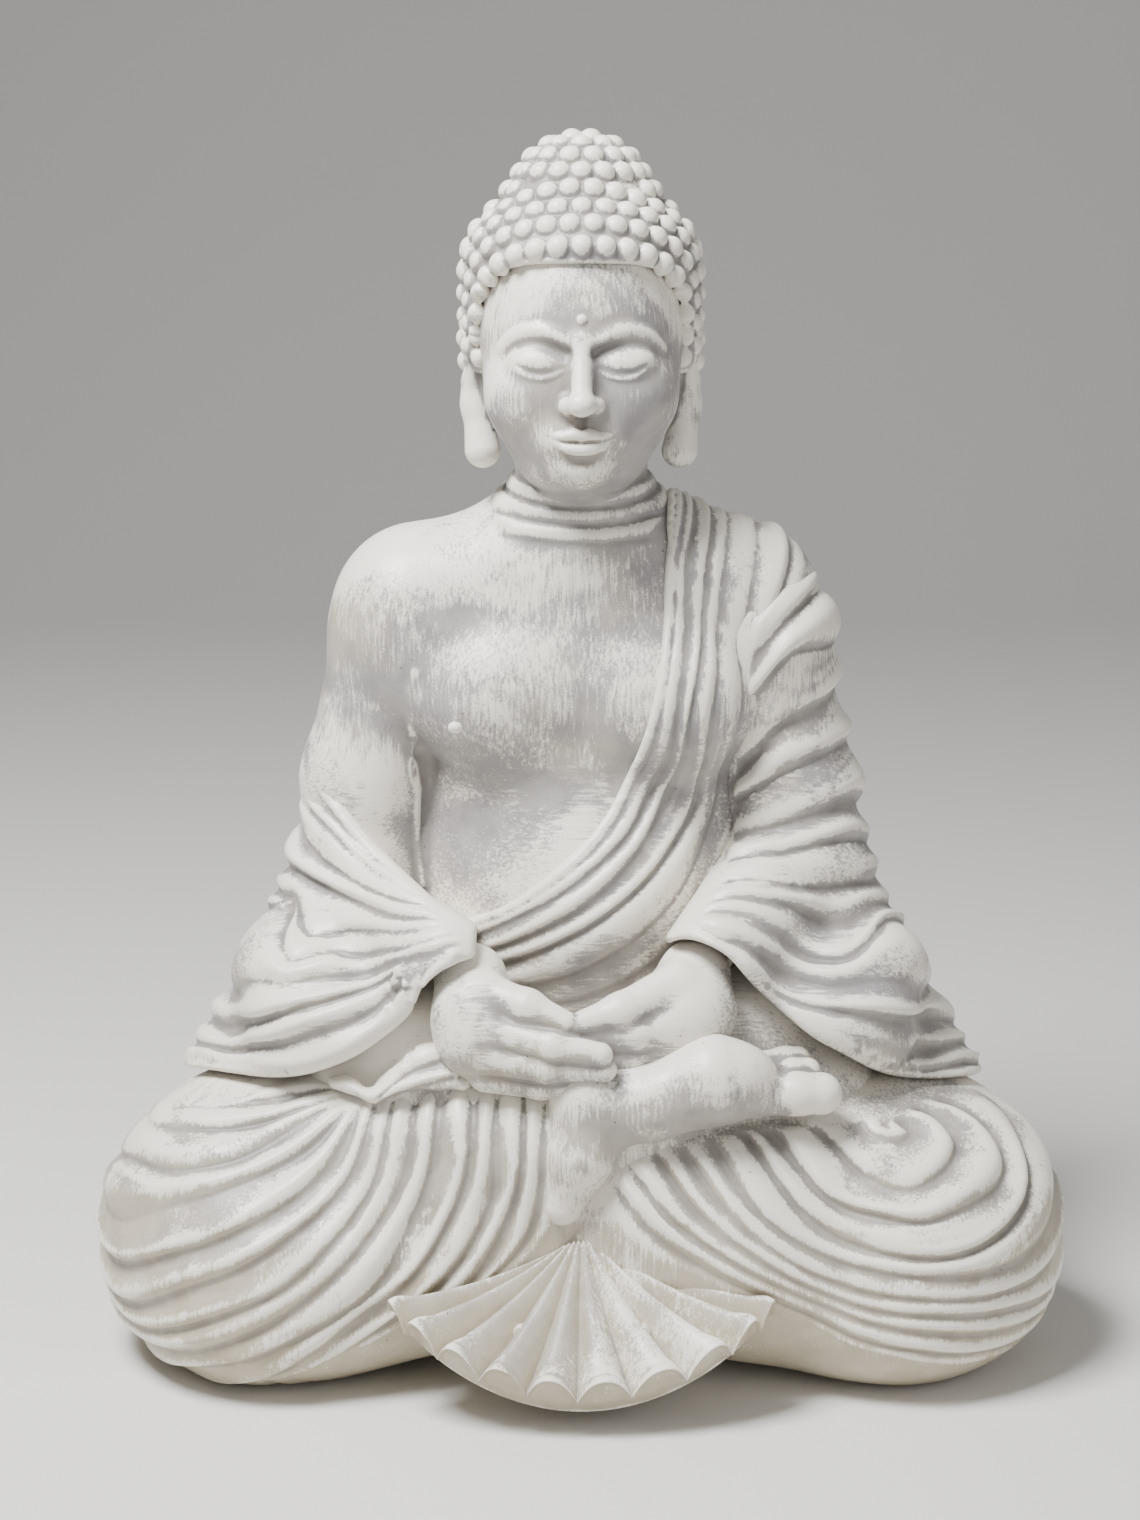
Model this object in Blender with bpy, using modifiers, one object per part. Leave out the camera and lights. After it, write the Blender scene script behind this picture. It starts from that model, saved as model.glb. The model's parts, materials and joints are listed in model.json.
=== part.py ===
"""Seated garden buddha, hollow cast in bonded sections around a flat oval base plate.

Metres, +Z up. The figure faces -Y, its right side is at -X, and the origin is on the
ground under the middle of its bounding box. Its forms are laid out about the spine's foot,
and the empty "figure" moves them all by FORWARD. Run with: blender --background --python part.py
"""
import math

import bmesh
import bpy
from mathutils import Euler, Matrix, Vector

# Driving dimensions
SEAT_Z = 0.125            # flat joint between lap and torso
NECK_Z = 0.371            # flat joint between torso and head
WALL = 0.012              # thickness of the hollow castings
GAP = 0.0004              # clearance between neighbouring pieces
SPREAD = 0.152            # half the distance between the knees' centres
FORWARD = 0.0108          # moves the middle of the bounding box over the origin

OPENING = (0.088, 0.048)  # half-axes of the way into the hollow lap
PLATE = (0.100, 0.060)    # half-axes of the base plate
PLATE_Y = 0.012
PLATE_LOW = 0.003
PLATE_THICK = 0.008
PLUG_RADIUS = 0.018
SCREW_RING = (0.094, 0.054)
SCREW_COUNT = 6
SCREW_RADIUS = 0.002
SCREW_HEAD_RADIUS = 0.0042
SCREW_HEAD_HEIGHT = 0.0025
SCREW_LENGTH = 0.017

SPIGOT = (0.056, 0.040)   # half-axes of the torso's register in the lap
SPIGOT_BORE = (0.044, 0.028)
SPIGOT_Y = 0.040
SPIGOT_DEPTH = 0.014
TENON_RADIUS = 0.020      # round tenon under the neck
TENON_BORE = 0.011
TENON_DEPTH = 0.022
NECK_Y = 0.014

DOWEL_RADIUS = 0.003
FLUTES = 10               # flutes of the fan-shaped apron

VOXEL = 0.004
ROUND = 24                # sides of the round pieces


# ---------------------------------------------------------------- scene and materials

for old in list(bpy.data.objects):
    bpy.data.objects.remove(old)

PARTS = bpy.data.collections.new("garden_buddha")
CUTTERS = bpy.data.collections.new("cutters")
bpy.context.scene.collection.children.link(PARTS)
bpy.context.scene.collection.children.link(CUTTERS)

FIGURE = bpy.data.objects.new("figure", None)
FIGURE.location = (0.0, FORWARD, 0.0)
PARTS.objects.link(FIGURE)


def material(name, colour, roughness, metallic=0.0):
    mat = bpy.data.materials.new(name)
    mat.use_nodes = True
    shader = mat.node_tree.nodes["Principled BSDF"]
    shader.inputs["Base Color"].default_value = (*colour, 1.0)
    shader.inputs["Roughness"].default_value = roughness
    shader.inputs["Metallic"].default_value = metallic
    return mat


STONE = material("washed_cast_stone", (0.62, 0.61, 0.60), 0.5)
BOARD = material("grey_base_board", (0.30, 0.30, 0.29), 0.7)
RUBBER = material("black_rubber", (0.03, 0.03, 0.03), 0.6)
STEEL = material("zinc_steel", (0.62, 0.63, 0.64), 0.35, 1.0)
GLASS_ROD = material("glass_fibre_rod", (0.74, 0.72, 0.60), 0.5)


def place(name, mesh, mat=None):
    """A part when it has a material, otherwise a hidden cutter."""
    obj = bpy.data.objects.new(name, mesh)
    obj.parent = FIGURE
    if mat:
        mesh.materials.clear()
        mesh.materials.append(mat)
        PARTS.objects.link(obj)
    else:
        CUTTERS.objects.link(obj)
        obj.hide_render = True
        obj.display_type = "WIRE"
    return obj


def boolean(obj, cutter, operation="DIFFERENCE"):
    mod = obj.modifiers.new(cutter.name, "BOOLEAN")
    mod.operation = operation
    mod.object = cutter
    mod.solver = "EXACT"


# ---------------------------------------------------------------- soft forms

def ball(centre, radii, turn=(0, 0, 0)):
    return ("ball", centre, radii, turn)


def limb(start, end, start_radius, end_radius):
    return ("limb", start, end, start_radius, end_radius)


def add_sphere(bm, matrix):
    return bmesh.ops.create_uvsphere(
        bm, u_segments=32, v_segments=16, radius=1.0, matrix=matrix)["verts"]


def add_shape(bm, shape, shrink):
    if shape[0] == "ball":
        _, centre, radii, turn = shape
        size = Matrix.Diagonal([r - shrink for r in radii] + [1.0])
        spin = Euler([math.radians(a) for a in turn]).to_matrix().to_4x4()
        add_sphere(bm, Matrix.Translation(centre) @ spin @ size)
        return
    _, start, end, start_radius, end_radius = shape
    hull = bmesh.new()
    for point, radius in ((start, start_radius), (end, end_radius)):
        size = Matrix.Diagonal([radius - shrink] * 3 + [1.0])
        add_sphere(hull, Matrix.Translation(point) @ size)
    made = bmesh.ops.convex_hull(hull, input=hull.verts, use_existing_faces=False)
    inner = set(made["geom_interior"]) | set(made["geom_unused"])
    bmesh.ops.delete(hull, geom=[g for g in inner if isinstance(g, bmesh.types.BMVert)],
                     context="VERTS")
    mesh = bpy.data.meshes.new("hull")
    hull.to_mesh(mesh)
    hull.free()
    bm.from_mesh(mesh)
    bpy.data.meshes.remove(mesh)


def soft_form(name, shapes, keep, smoothing=10, shrink=0.0):
    """Balls and limbs grown together into one smooth closed form."""
    bm = bmesh.new()
    for shape in shapes:
        add_shape(bm, shape, shrink)
    mesh = bpy.data.meshes.new(name)
    bm.to_mesh(mesh)
    bm.free()
    obj = place(name, mesh)
    remesh = obj.modifiers.new("grow_together", "REMESH")
    remesh.mode = "VOXEL"
    remesh.voxel_size = VOXEL
    smooth = obj.modifiers.new("smooth", "SMOOTH")
    smooth.factor = 0.5
    smooth.iterations = smoothing
    bpy.context.view_layer.update()
    graph = bpy.context.evaluated_depsgraph_get()
    quads = len(obj.evaluated_get(graph).data.polygons)
    thin = obj.modifiers.new("thin_out", "DECIMATE")
    thin.ratio = min(1.0, keep / (2.0 * quads))
    bpy.context.view_layer.update()
    graph = bpy.context.evaluated_depsgraph_get()
    grown = bpy.data.meshes.new_from_object(obj.evaluated_get(graph))
    grown.name = name
    obj.modifiers.clear()
    obj.data = grown
    return obj


def swollen(form):
    """A copy of a form that stands proud by the clearance, to cut its neighbours."""
    obj = place(form.name + "_swollen", form.data.copy())
    for mod in form.modifiers:
        boolean(obj, mod.object, mod.operation)
    grow = obj.modifiers.new("clearance", "DISPLACE")
    grow.mid_level = 0.0
    grow.strength = GAP + 0.0003
    return obj


def casting(name, form):
    """The part that has a form's shape, ready for its own cuts."""
    obj = place(name, form.data.copy(), STONE)
    for mod in form.modifiers:
        boolean(obj, mod.object, mod.operation)
    return obj


# ---------------------------------------------------------------- plain cutters

def cylinder(name, start, end, radii, mat=None, sides=ROUND):
    """A round or oval bar between two points, its oval lying along X and Y."""
    start, end = Vector(start), Vector(end)
    bm = bmesh.new()
    bmesh.ops.create_cone(bm, cap_ends=True, segments=sides, radius1=1.0, radius2=1.0,
                          depth=(end - start).length,
                          matrix=Matrix.Diagonal((radii[0], radii[1], 1.0, 1.0)))
    turn = (end - start).to_track_quat("Z", "Y").to_matrix().to_4x4()
    bmesh.ops.transform(bm, matrix=Matrix.Translation((start + end) / 2) @ turn, verts=bm.verts)
    mesh = bpy.data.meshes.new(name)
    bm.to_mesh(mesh)
    bm.free()
    return place(name, mesh, mat)


def box(name, low, high):
    low, high = Vector(low), Vector(high)
    bm = bmesh.new()
    size = Matrix.Diagonal((*(high - low), 1.0))
    bmesh.ops.create_cube(bm, size=1.0, matrix=Matrix.Translation((low + high) / 2) @ size)
    mesh = bpy.data.meshes.new(name)
    bm.to_mesh(mesh)
    bm.free()
    return place(name, mesh)


def turned(name, profile, centre, mat=None, sides=ROUND):
    """A profile of (radius, height) points, from the top down, turned about Z."""
    mesh = bpy.data.meshes.new(name)
    bm = bmesh.new()
    points = [bm.verts.new((r, 0.0, z)) for r, z in profile]
    for a, b in zip(points, points[1:]):
        bm.edges.new((a, b))
    bm.to_mesh(mesh)
    bm.free()
    obj = place(name, mesh, mat)
    obj.location = centre
    screw = obj.modifiers.new("turn", "SCREW")
    screw.axis = "Z"
    screw.steps = sides
    screw.render_steps = sides
    screw.use_merge_vertices = True
    screw.merge_threshold = 0.00001
    return obj


def widened(radii, by):
    return (radii[0] + by, radii[1] + by)


FAR = 0.5
BELOW_GROUND = box("below_ground", (-FAR, -FAR, -FAR), (FAR, FAR, 0.0))
ABOVE_SEAT = box("above_seat", (-FAR, -FAR, SEAT_Z), (FAR, FAR, FAR))
BELOW_SEAT = box("below_seat", (-FAR, -FAR, -FAR), (FAR, FAR, SEAT_Z + GAP))
ABOVE_NECK = box("above_neck", (-FAR, -FAR, NECK_Z), (FAR, FAR, FAR))
BELOW_NECK = box("below_neck", (-FAR, -FAR, -FAR), (FAR, FAR, NECK_Z + GAP))


# ---------------------------------------------------------------- forms of the figure

def leg(side, shin_inner, knee_depth):
    return [
        limb((side * 0.048, 0.050, 0.066), (side * 0.142, -0.018, 0.068), 0.062, 0.058),
        ball((side * SPREAD, -0.036, 0.060), (0.066, knee_depth, 0.060)),
        ball((side * 0.135, -0.034, 0.030), (0.072, 0.078, 0.036)),
        limb((side * 0.138, -0.063, 0.053), shin_inner, 0.051, 0.044),
        limb((side * 0.108, -0.042, 0.084), (side * 0.022, -0.057, 0.086), 0.044, 0.041),
        ball((side * 0.075, -0.036, 0.120), (0.055, 0.046, 0.037)),
    ]


LAP = (
    leg(-1, (-0.020, -0.058, 0.052), 0.068)
    + leg(1, (0.050, -0.060, 0.056), 0.070)
    + [
        limb((0.066, -0.062, 0.060), (0.004, -0.056, 0.056), 0.051, 0.044),
        ball((0.0, 0.042, 0.085), (0.116, 0.077, 0.080)),
        ball((0.0, 0.010, 0.032), (0.165, 0.098, 0.046)),
        ball((0.0, -0.044, 0.108), (0.085, 0.050, 0.038)),
    ]
)

TORSO = [
    ball((0.0, 0.042, 0.123), (0.103, 0.069, 0.084)),
    ball((0.0, 0.028, 0.207), (0.082, 0.055, 0.086)),
    ball((0.0, 0.004, 0.196), (0.055, 0.047, 0.059)),
    ball((0.0, 0.026, 0.291), (0.083, 0.055, 0.069)),
    ball((-0.037, -0.002, 0.293), (0.042, 0.033, 0.037)),
    ball((0.037, -0.002, 0.293), (0.042, 0.033, 0.037)),
    limb((-0.074, 0.022, 0.328), (0.074, 0.022, 0.328), 0.034, 0.034),
    limb((-0.050, 0.022, 0.344), (0.050, 0.022, 0.344), 0.029, 0.029),
    limb((0.0, 0.022, 0.345), (0.0, 0.014, 0.385), 0.037, 0.032),
]

HEAD = [
    limb((0.0, 0.014, 0.360), (0.0, 0.010, 0.430), 0.0325, 0.0315),
    ball((0.0, 0.004, 0.446), (0.045, 0.050, 0.054)),
    ball((0.0, -0.010, 0.422), (0.036, 0.040, 0.034)),
    ball((0.0, -0.046, 0.438), (0.007, 0.012, 0.012)),
    ball((0.0, 0.016, 0.468), (0.056, 0.060, 0.050)),
    ball((0.0, 0.019, 0.503), (0.037, 0.039, 0.037)),
    ball((-0.048, 0.010, 0.417), (0.008, 0.012, 0.026)),
    ball((0.048, 0.010, 0.417), (0.008, 0.012, 0.026)),
]


def arm(side, sleeve):
    """Upper arm, forearm and the skirt of the sleeve over the thigh."""
    out = side * (0.0975 + 0.2 * sleeve)
    return [
        ball((side * 0.081, 0.020, 0.315), (0.034 + sleeve, 0.039 + sleeve, 0.044)),
        limb((side * 0.084, 0.020, 0.316), (out, 0.020, 0.240), 0.031 + sleeve, 0.030 + sleeve),
        limb((out, 0.020, 0.240), (out, 0.012, 0.205), 0.030 + sleeve, 0.034 + sleeve),
        limb((out, 0.010, 0.205), (side * 0.056, -0.060, 0.184), 0.034 + sleeve, 0.026),
        limb((out, 0.018, 0.200), (side * 0.140, 0.004, 0.130), 0.034, 0.036),
        ball((side * 0.108, -0.018, 0.158), (0.056, 0.059, 0.040), (0, -28 * side, 0)),
    ]


HANDS = [
    limb((-0.048, -0.060, 0.178), (-0.046, -0.070, 0.169), 0.018, 0.019),
    ball((-0.045, -0.074, 0.159), (0.020, 0.020, 0.020)),
    limb((-0.044, -0.077, 0.155), (-0.025, -0.083, 0.150), 0.016, 0.013),
    limb((-0.039, -0.085, 0.160), (0.008, -0.097, 0.155), 0.010, 0.007),
    limb((-0.041, -0.082, 0.144), (0.000, -0.093, 0.145), 0.010, 0.008),
    limb((-0.044, -0.074, 0.175), (-0.007, -0.091, 0.168), 0.010, 0.007),
    limb((0.049, -0.056, 0.178), (0.047, -0.064, 0.169), 0.018, 0.019),
    ball((0.044, -0.068, 0.163), (0.023, 0.021, 0.020)),
    limb((0.041, -0.070, 0.158), (0.016, -0.078, 0.154), 0.017, 0.014),
    limb((0.044, -0.074, 0.157), (0.000, -0.086, 0.153), 0.012, 0.010),
    limb((0.043, -0.070, 0.177), (-0.003, -0.090, 0.166), 0.010, 0.007),
    ball((0.0, -0.064, 0.140), (0.046, 0.028, 0.022)),
]

FOOT = [
    limb((0.004, -0.085, 0.131), (0.030, -0.088, 0.131), 0.016, 0.016),
    limb((0.030, -0.088, 0.131), (0.058, -0.086, 0.140), 0.016, 0.019),
    limb((0.058, -0.086, 0.140), (0.074, -0.083, 0.139), 0.019, 0.016),
    limb((0.078, -0.084, 0.133), (0.107, -0.079, 0.133), 0.010, 0.010),
    limb((0.077, -0.072, 0.141), (0.100, -0.066, 0.141), 0.011, 0.009),
    limb((0.006, -0.084, 0.126), (0.000, -0.090, 0.106), 0.015, 0.013),
    ball((0.050, -0.068, 0.124), (0.042, 0.020, 0.018)),
]


# ---------------------------------------------------------------- fan-shaped apron

FAN_ROOT = Vector((0.0, -0.098, 0.0714))
FAN_HALF_ROOT = 0.011
FAN_HALF_WIDTH = 0.082
FAN_REACH = 0.031
FAN_SWEEP = math.radians(82)
FAN_EDGE_THICK = 0.014


def fan_edge(angle, lift):
    """A point on the scalloped rim, at an angle from straight ahead."""
    ahead = math.cos(angle)
    return Vector((FAN_HALF_WIDTH * math.sin(angle),
                   FAN_ROOT.y - 0.012 - FAN_REACH * ahead,
                   0.0495 - 0.0275 * ahead * ahead + lift))


def fan_form():
    """Two fluted sheets, lofted from the root to the rim and joined round the outside."""
    steps, rows = FLUTES * 4, 3
    bm = bmesh.new()
    sheets = []
    for under in (False, True):
        sheet = []
        for row in range(rows + 1):
            out = row / rows
            line = []
            for i in range(steps + 1):
                angle = FAN_SWEEP * (2.0 * i / steps - 1.0)
                wave = math.cos(2.0 * math.pi * FLUTES * i / steps)
                lift = -0.0026 * out * wave
                turn = 2.0 * i / steps - 1.0
                root = FAN_ROOT + Vector((FAN_HALF_ROOT * turn, 0.0, -0.005 * turn * turn))
                point = root.lerp(fan_edge(angle, lift), out)
                if under:
                    edge = fan_edge(angle, lift - FAN_EDGE_THICK)
                    edge.x *= 0.94
                    edge.y += 0.004
                    point = Vector((root.x, -0.080, 0.012)).lerp(edge, out)
                line.append(bm.verts.new(point))
            sheet.append(line)
        sheets.append(sheet)
    top, low = sheets
    for sheet, flip in ((top, False), (low, True)):
        for near, far in zip(sheet, sheet[1:]):
            for i in range(steps):
                quad = (near[i], far[i], far[i + 1], near[i + 1])
                bm.faces.new(quad[::-1] if flip else quad)
    for i in range(steps):
        bm.faces.new((top[-1][i], low[-1][i], low[-1][i + 1], top[-1][i + 1]))
        bm.faces.new((top[0][i + 1], low[0][i + 1], low[0][i], top[0][i]))
    for row in range(rows):
        bm.faces.new((top[row][0], low[row][0], low[row + 1][0], top[row + 1][0]))
        bm.faces.new((top[row + 1][-1], low[row + 1][-1], low[row][-1], top[row][-1]))
    bmesh.ops.recalc_face_normals(bm, faces=bm.faces)
    mesh = bpy.data.meshes.new("fan_form")
    bm.to_mesh(mesh)
    bm.free()
    return place("fan_form", mesh)


# ---------------------------------------------------------------- dowels

DOWELS = {
    "arm_dowel_right": ((-0.068, 0.022, 0.318), (-0.096, 0.022, 0.318)),
    "arm_dowel_left": ((0.068, 0.022, 0.318), (0.096, 0.022, 0.318)),
    "wrist_dowel_right": ((-0.066, -0.044, 0.184), (-0.046, -0.070, 0.166)),
    "wrist_dowel_left": ((0.066, -0.044, 0.184), (0.045, -0.068, 0.166)),
    "foot_dowel": ((0.052, -0.070, 0.106), (0.052, -0.083, 0.138)),
    "apron_dowel_right": ((-0.026, -0.086, 0.040), (-0.026, -0.124, 0.040)),
    "apron_dowel_left": ((0.026, -0.086, 0.040), (0.026, -0.124, 0.040)),
}


def dowel(name):
    """A rod, and the cutter of the hole that it is bonded in."""
    start, end = (Vector(p) for p in DOWELS[name])
    along = (end - start).normalized() * GAP
    cylinder(name, start, end, (DOWEL_RADIUS, DOWEL_RADIUS), GLASS_ROD, 12)
    radius = DOWEL_RADIUS + GAP
    return cylinder(name + "_hole", start - along, end + along, (radius, radius), None, 12)


# ---------------------------------------------------------------- base plate and fasteners

def oval(name, radii, centre_y, low, high, mat=None):
    return cylinder(name, (0, centre_y, low), (0, centre_y, high), radii, mat, 36)


def screw_places():
    for i in range(SCREW_COUNT):
        angle = 2.0 * math.pi * (i + 0.5) / SCREW_COUNT
        yield (SCREW_RING[0] * math.cos(angle), PLATE_Y + SCREW_RING[1] * math.sin(angle),
               PLATE_LOW)


def screw_profile(extra, length):
    head, shank = SCREW_HEAD_RADIUS + extra, SCREW_RADIUS + extra
    return [(0.0, length), (shank, length - shank), (shank, SCREW_HEAD_HEIGHT),
            (head, 0.0), (head, -extra), (0.0, -extra)]


def base(lap):
    plate_top = PLATE_LOW + PLATE_THICK
    plate = oval("base_plate", PLATE, PLATE_Y, PLATE_LOW, plate_top, BOARD)
    hole = PLUG_RADIUS + GAP
    boolean(plate, oval("plug_hole", (hole, hole), PLATE_Y, -0.01, 0.03))
    boolean(lap, oval("lap_opening", OPENING, PLATE_Y, -0.02, 0.035))
    boolean(lap, oval("plate_rebate", widened(PLATE, GAP), PLATE_Y, -0.02, plate_top + GAP))
    lip, flange = PLUG_RADIUS + 0.0015, PLUG_RADIUS + 0.004
    profile = [(0.0, plate_top + 0.003), (PLUG_RADIUS, plate_top + 0.003), (lip, plate_top + GAP),
               (PLUG_RADIUS, plate_top + GAP), (PLUG_RADIUS, PLATE_LOW - GAP),
               (flange, PLATE_LOW - GAP), (flange, 0.001), (0.0, 0.001)]
    turned("filler_plug", profile, (0, PLATE_Y, 0), RUBBER)
    for i, point in enumerate(screw_places(), 1):
        turned(f"base_screw_{i}", screw_profile(0.0, SCREW_LENGTH), point, STEEL, 10)
        hole = turned(f"screw_hole_{i}", screw_profile(GAP, SCREW_LENGTH + GAP), point, None, 10)
        boolean(plate, hole)
        boolean(lap, hole)


# ---------------------------------------------------------------- castings

def cavity(name, shapes, keep, low, high):
    """The hollow inside a casting, between two levels."""
    obj = soft_form(name, shapes, keep, 6, WALL)
    boolean(obj, box(name + "_floor", (-FAR, -FAR, -FAR), (FAR, FAR, low)))
    boolean(obj, box(name + "_roof", (-FAR, -FAR, high), (FAR, FAR, FAR)))
    return obj


lap_form = soft_form("lap_form", LAP, 1500, 14)
boolean(lap_form, BELOW_GROUND)
boolean(lap_form, ABOVE_SEAT)
torso_form = soft_form("torso_form", TORSO, 850, 10)
boolean(torso_form, BELOW_SEAT)
boolean(torso_form, ABOVE_NECK)
head_form = soft_form("head_form", HEAD, 900, 3)
boolean(head_form, BELOW_NECK)
right_form = soft_form("right_arm_form", arm(-1, 0.0), 600)
left_form = soft_form("left_arm_form", arm(1, 0.003), 600)
hands_form = soft_form("hands_form", HANDS, 520, 3)
foot_form = soft_form("foot_form", FOOT, 320, 3)
apron_form = fan_form()

lap_swollen = swollen(lap_form)
torso_swollen = swollen(torso_form)
right_swollen = swollen(right_form)
left_swollen = swollen(left_form)
hands_swollen = swollen(hands_form)

lap = casting("lap_casting", lap_form)
boolean(lap, cavity("lap_cavity", LAP, 400, 0.022, SEAT_Z - SPIGOT_DEPTH))
boolean(lap, oval("register", widened(SPIGOT, GAP), SPIGOT_Y, SEAT_Z - 0.03, SEAT_Z + 0.03))
base(lap)

torso = casting("torso_casting", torso_form)
boolean(torso, oval("spigot", SPIGOT, SPIGOT_Y, SEAT_Z - SPIGOT_DEPTH, SEAT_Z + 0.012), "UNION")
boolean(torso, cavity("torso_cavity", TORSO, 260, SEAT_Z + 0.010, NECK_Z - 0.036))
boolean(torso, oval("spigot_bore", SPIGOT_BORE, SPIGOT_Y, SEAT_Z - 0.03, SEAT_Z + 0.03))
socket_radius = TENON_RADIUS + GAP
boolean(torso, cylinder("neck_socket", (0, NECK_Y, NECK_Z - TENON_DEPTH - GAP),
                        (0, NECK_Y, NECK_Z + 0.02), (socket_radius, socket_radius)))

head = casting("head_casting", head_form)
boolean(head, cylinder("tenon", (0, NECK_Y, NECK_Z - TENON_DEPTH), (0, NECK_Y, NECK_Z + 0.01),
                       (TENON_RADIUS, TENON_RADIUS)), "UNION")
boolean(head, soft_form("head_cavity", [ball((0, 0.014, 0.458), (0.048, 0.054, 0.052))],
                        140, 2, WALL))
boolean(head, cylinder("tenon_bore", (0, NECK_Y, NECK_Z - 0.04), (0, NECK_Y, 0.450),
                       (TENON_BORE, TENON_BORE)))

right_arm = casting("right_arm_casting", right_form)
left_arm = casting("left_arm_casting", left_form)
for piece in (right_arm, left_arm):
    boolean(piece, torso_swollen)
    boolean(piece, lap_swollen)

hands = casting("hands_casting", hands_form)
for neighbour in (lap_swollen, torso_swollen, right_swollen, left_swollen):
    boolean(hands, neighbour)

foot = casting("foot_casting", foot_form)
for neighbour in (lap_swollen, left_swollen, hands_swollen):
    boolean(foot, neighbour)

apron = casting("apron_casting", apron_form)
boolean(apron, lap_swollen)
boolean(apron, swollen(foot_form))

JOINED = {
    "arm_dowel_right": (torso, right_arm),
    "arm_dowel_left": (torso, left_arm),
    "wrist_dowel_right": (right_arm, hands),
    "wrist_dowel_left": (left_arm, hands),
    "foot_dowel": (lap, foot),
    "apron_dowel_right": (lap, apron),
    "apron_dowel_left": (lap, apron),
}
for name, pair in JOINED.items():
    hole = dowel(name)
    for piece in pair:
        boolean(piece, hole)
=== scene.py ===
"""Looks of the seated garden buddha: sculpted forms, pleated robe, hair, face and washed stone.

Everything is laid out in the figure's own frame, as in the CAD model: it faces -Y, its right
side is at -X and the ground is at z = 0. FORWARD then moves it over the record's origin.
"""
import json
import math

import bmesh
import bpy
import numpy as np
import openvdb
from mathutils import Euler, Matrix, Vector, kdtree

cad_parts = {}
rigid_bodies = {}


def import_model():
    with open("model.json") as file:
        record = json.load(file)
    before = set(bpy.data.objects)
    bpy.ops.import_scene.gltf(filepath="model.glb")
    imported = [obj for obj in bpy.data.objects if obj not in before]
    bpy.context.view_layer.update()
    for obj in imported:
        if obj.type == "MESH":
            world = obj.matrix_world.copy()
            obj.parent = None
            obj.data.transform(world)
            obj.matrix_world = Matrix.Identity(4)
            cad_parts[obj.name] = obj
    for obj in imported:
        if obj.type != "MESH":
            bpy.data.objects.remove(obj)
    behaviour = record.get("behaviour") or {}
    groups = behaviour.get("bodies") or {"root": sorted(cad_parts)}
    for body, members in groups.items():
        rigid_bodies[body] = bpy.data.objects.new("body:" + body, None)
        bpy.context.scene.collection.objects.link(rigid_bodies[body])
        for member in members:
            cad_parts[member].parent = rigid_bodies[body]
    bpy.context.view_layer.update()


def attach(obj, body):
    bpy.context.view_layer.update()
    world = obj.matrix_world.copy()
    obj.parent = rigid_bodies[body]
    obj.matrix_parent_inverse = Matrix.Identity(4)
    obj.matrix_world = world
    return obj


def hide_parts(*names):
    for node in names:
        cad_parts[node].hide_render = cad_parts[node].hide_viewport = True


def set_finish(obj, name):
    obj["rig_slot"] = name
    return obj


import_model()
F = np.float32

FORWARD = 0.0108          # from the figure's frame to the record's
EYE_TARGET = (0.0, -0.02, 0.26)
EYE_DISTANCE = 1.3
EYE_ELEVATION = math.radians(12)
CLOTH = 0.0035            # thickness of the robe
CREST_FULL = 0.0006       # a point this far out of its surroundings is a full crest
DETAIL = 0


# ---------------------------------------------------------------- forms as distance fields

def ball(centre, radii, turn=(0, 0, 0)):
    return ("ball", centre, radii, turn)


def limb(start, end, start_radius, end_radius):
    return ("limb", start, end, start_radius, end_radius)


def distance(p, shape):
    """Signed distance, roughly in metres, from the points to one shape's surface."""
    if shape[0] == "ball":
        _, centre, radii, turn = shape
        radii = np.array(radii if np.ndim(radii) else (radii,) * 3, F)
        q = p - np.array(centre, F)
        if any(turn):
            q = q @ np.array(Euler([math.radians(a) for a in turn]).to_matrix(), F)
        near = np.sqrt(((q / radii) ** 2).sum(1)) + 1e-6
        steep = np.sqrt(((q / (radii * radii)) ** 2).sum(1)) + 1e-6 / radii.min()
        return near * (near - 1) / steep
    _, start, end, start_radius, end_radius = shape
    start, end = np.array(start, F), np.array(end, F)
    q, along = p - start, end - start
    t = np.clip(q @ along / (along @ along), 0, 1)
    off = np.sqrt(((q - t[:, None] * along) ** 2).sum(1))
    return off - (start_radius + t * (end_radius - start_radius))


def melt(k, *parts):
    """Union of fields whose creases are filled over a width k."""
    d = parts[0]
    for e in parts[1:]:
        h = np.clip(0.5 + 0.5 * (e - d) / k, 0, 1)
        d = e * (1 - h) + d * h - k * h * (1 - h)
    return d


def carve(k, d, *cuts):
    for cut in cuts:
        d = -melt(k, -d, cut)
    return d


def common(k, d, e):
    return -melt(k, -d, -e)


def grow(p, shapes, k):
    return melt(k, *(distance(p, shape) for shape in shapes))


def chain(points, radii):
    return [limb(a, b, ra, rb) for a, b, ra, rb in zip(points, points[1:], radii, radii[1:])]


def mirrored(p):
    q = p.copy()
    q[:, 0] = np.abs(q[:, 0])
    return q


# ---------------------------------------------------------------- sketch plane
# Edges and folds are drawn as seen from the eye: u to the right and v up, on a plane through
# the middle of the figure. Drawn outlines, fold lines and strands are listed in millimetres.

def eye_frame():
    ahead = np.array((0, math.cos(EYE_ELEVATION), -math.sin(EYE_ELEVATION)), F)
    right = np.array((1, 0, 0), F)
    up = np.cross(right, ahead)
    return np.array(EYE_TARGET, F) - ahead * EYE_DISTANCE, ahead, right, up


EYE, AHEAD, RIGHT, UP = eye_frame()


def sketch(p):
    q = p - EYE
    scale = EYE_DISTANCE / (q @ AHEAD)
    return np.stack([q @ RIGHT * scale, q @ UP * scale], 1)


def metres(points):
    return [tuple(c / 1000 for c in q) for q in points]


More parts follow.
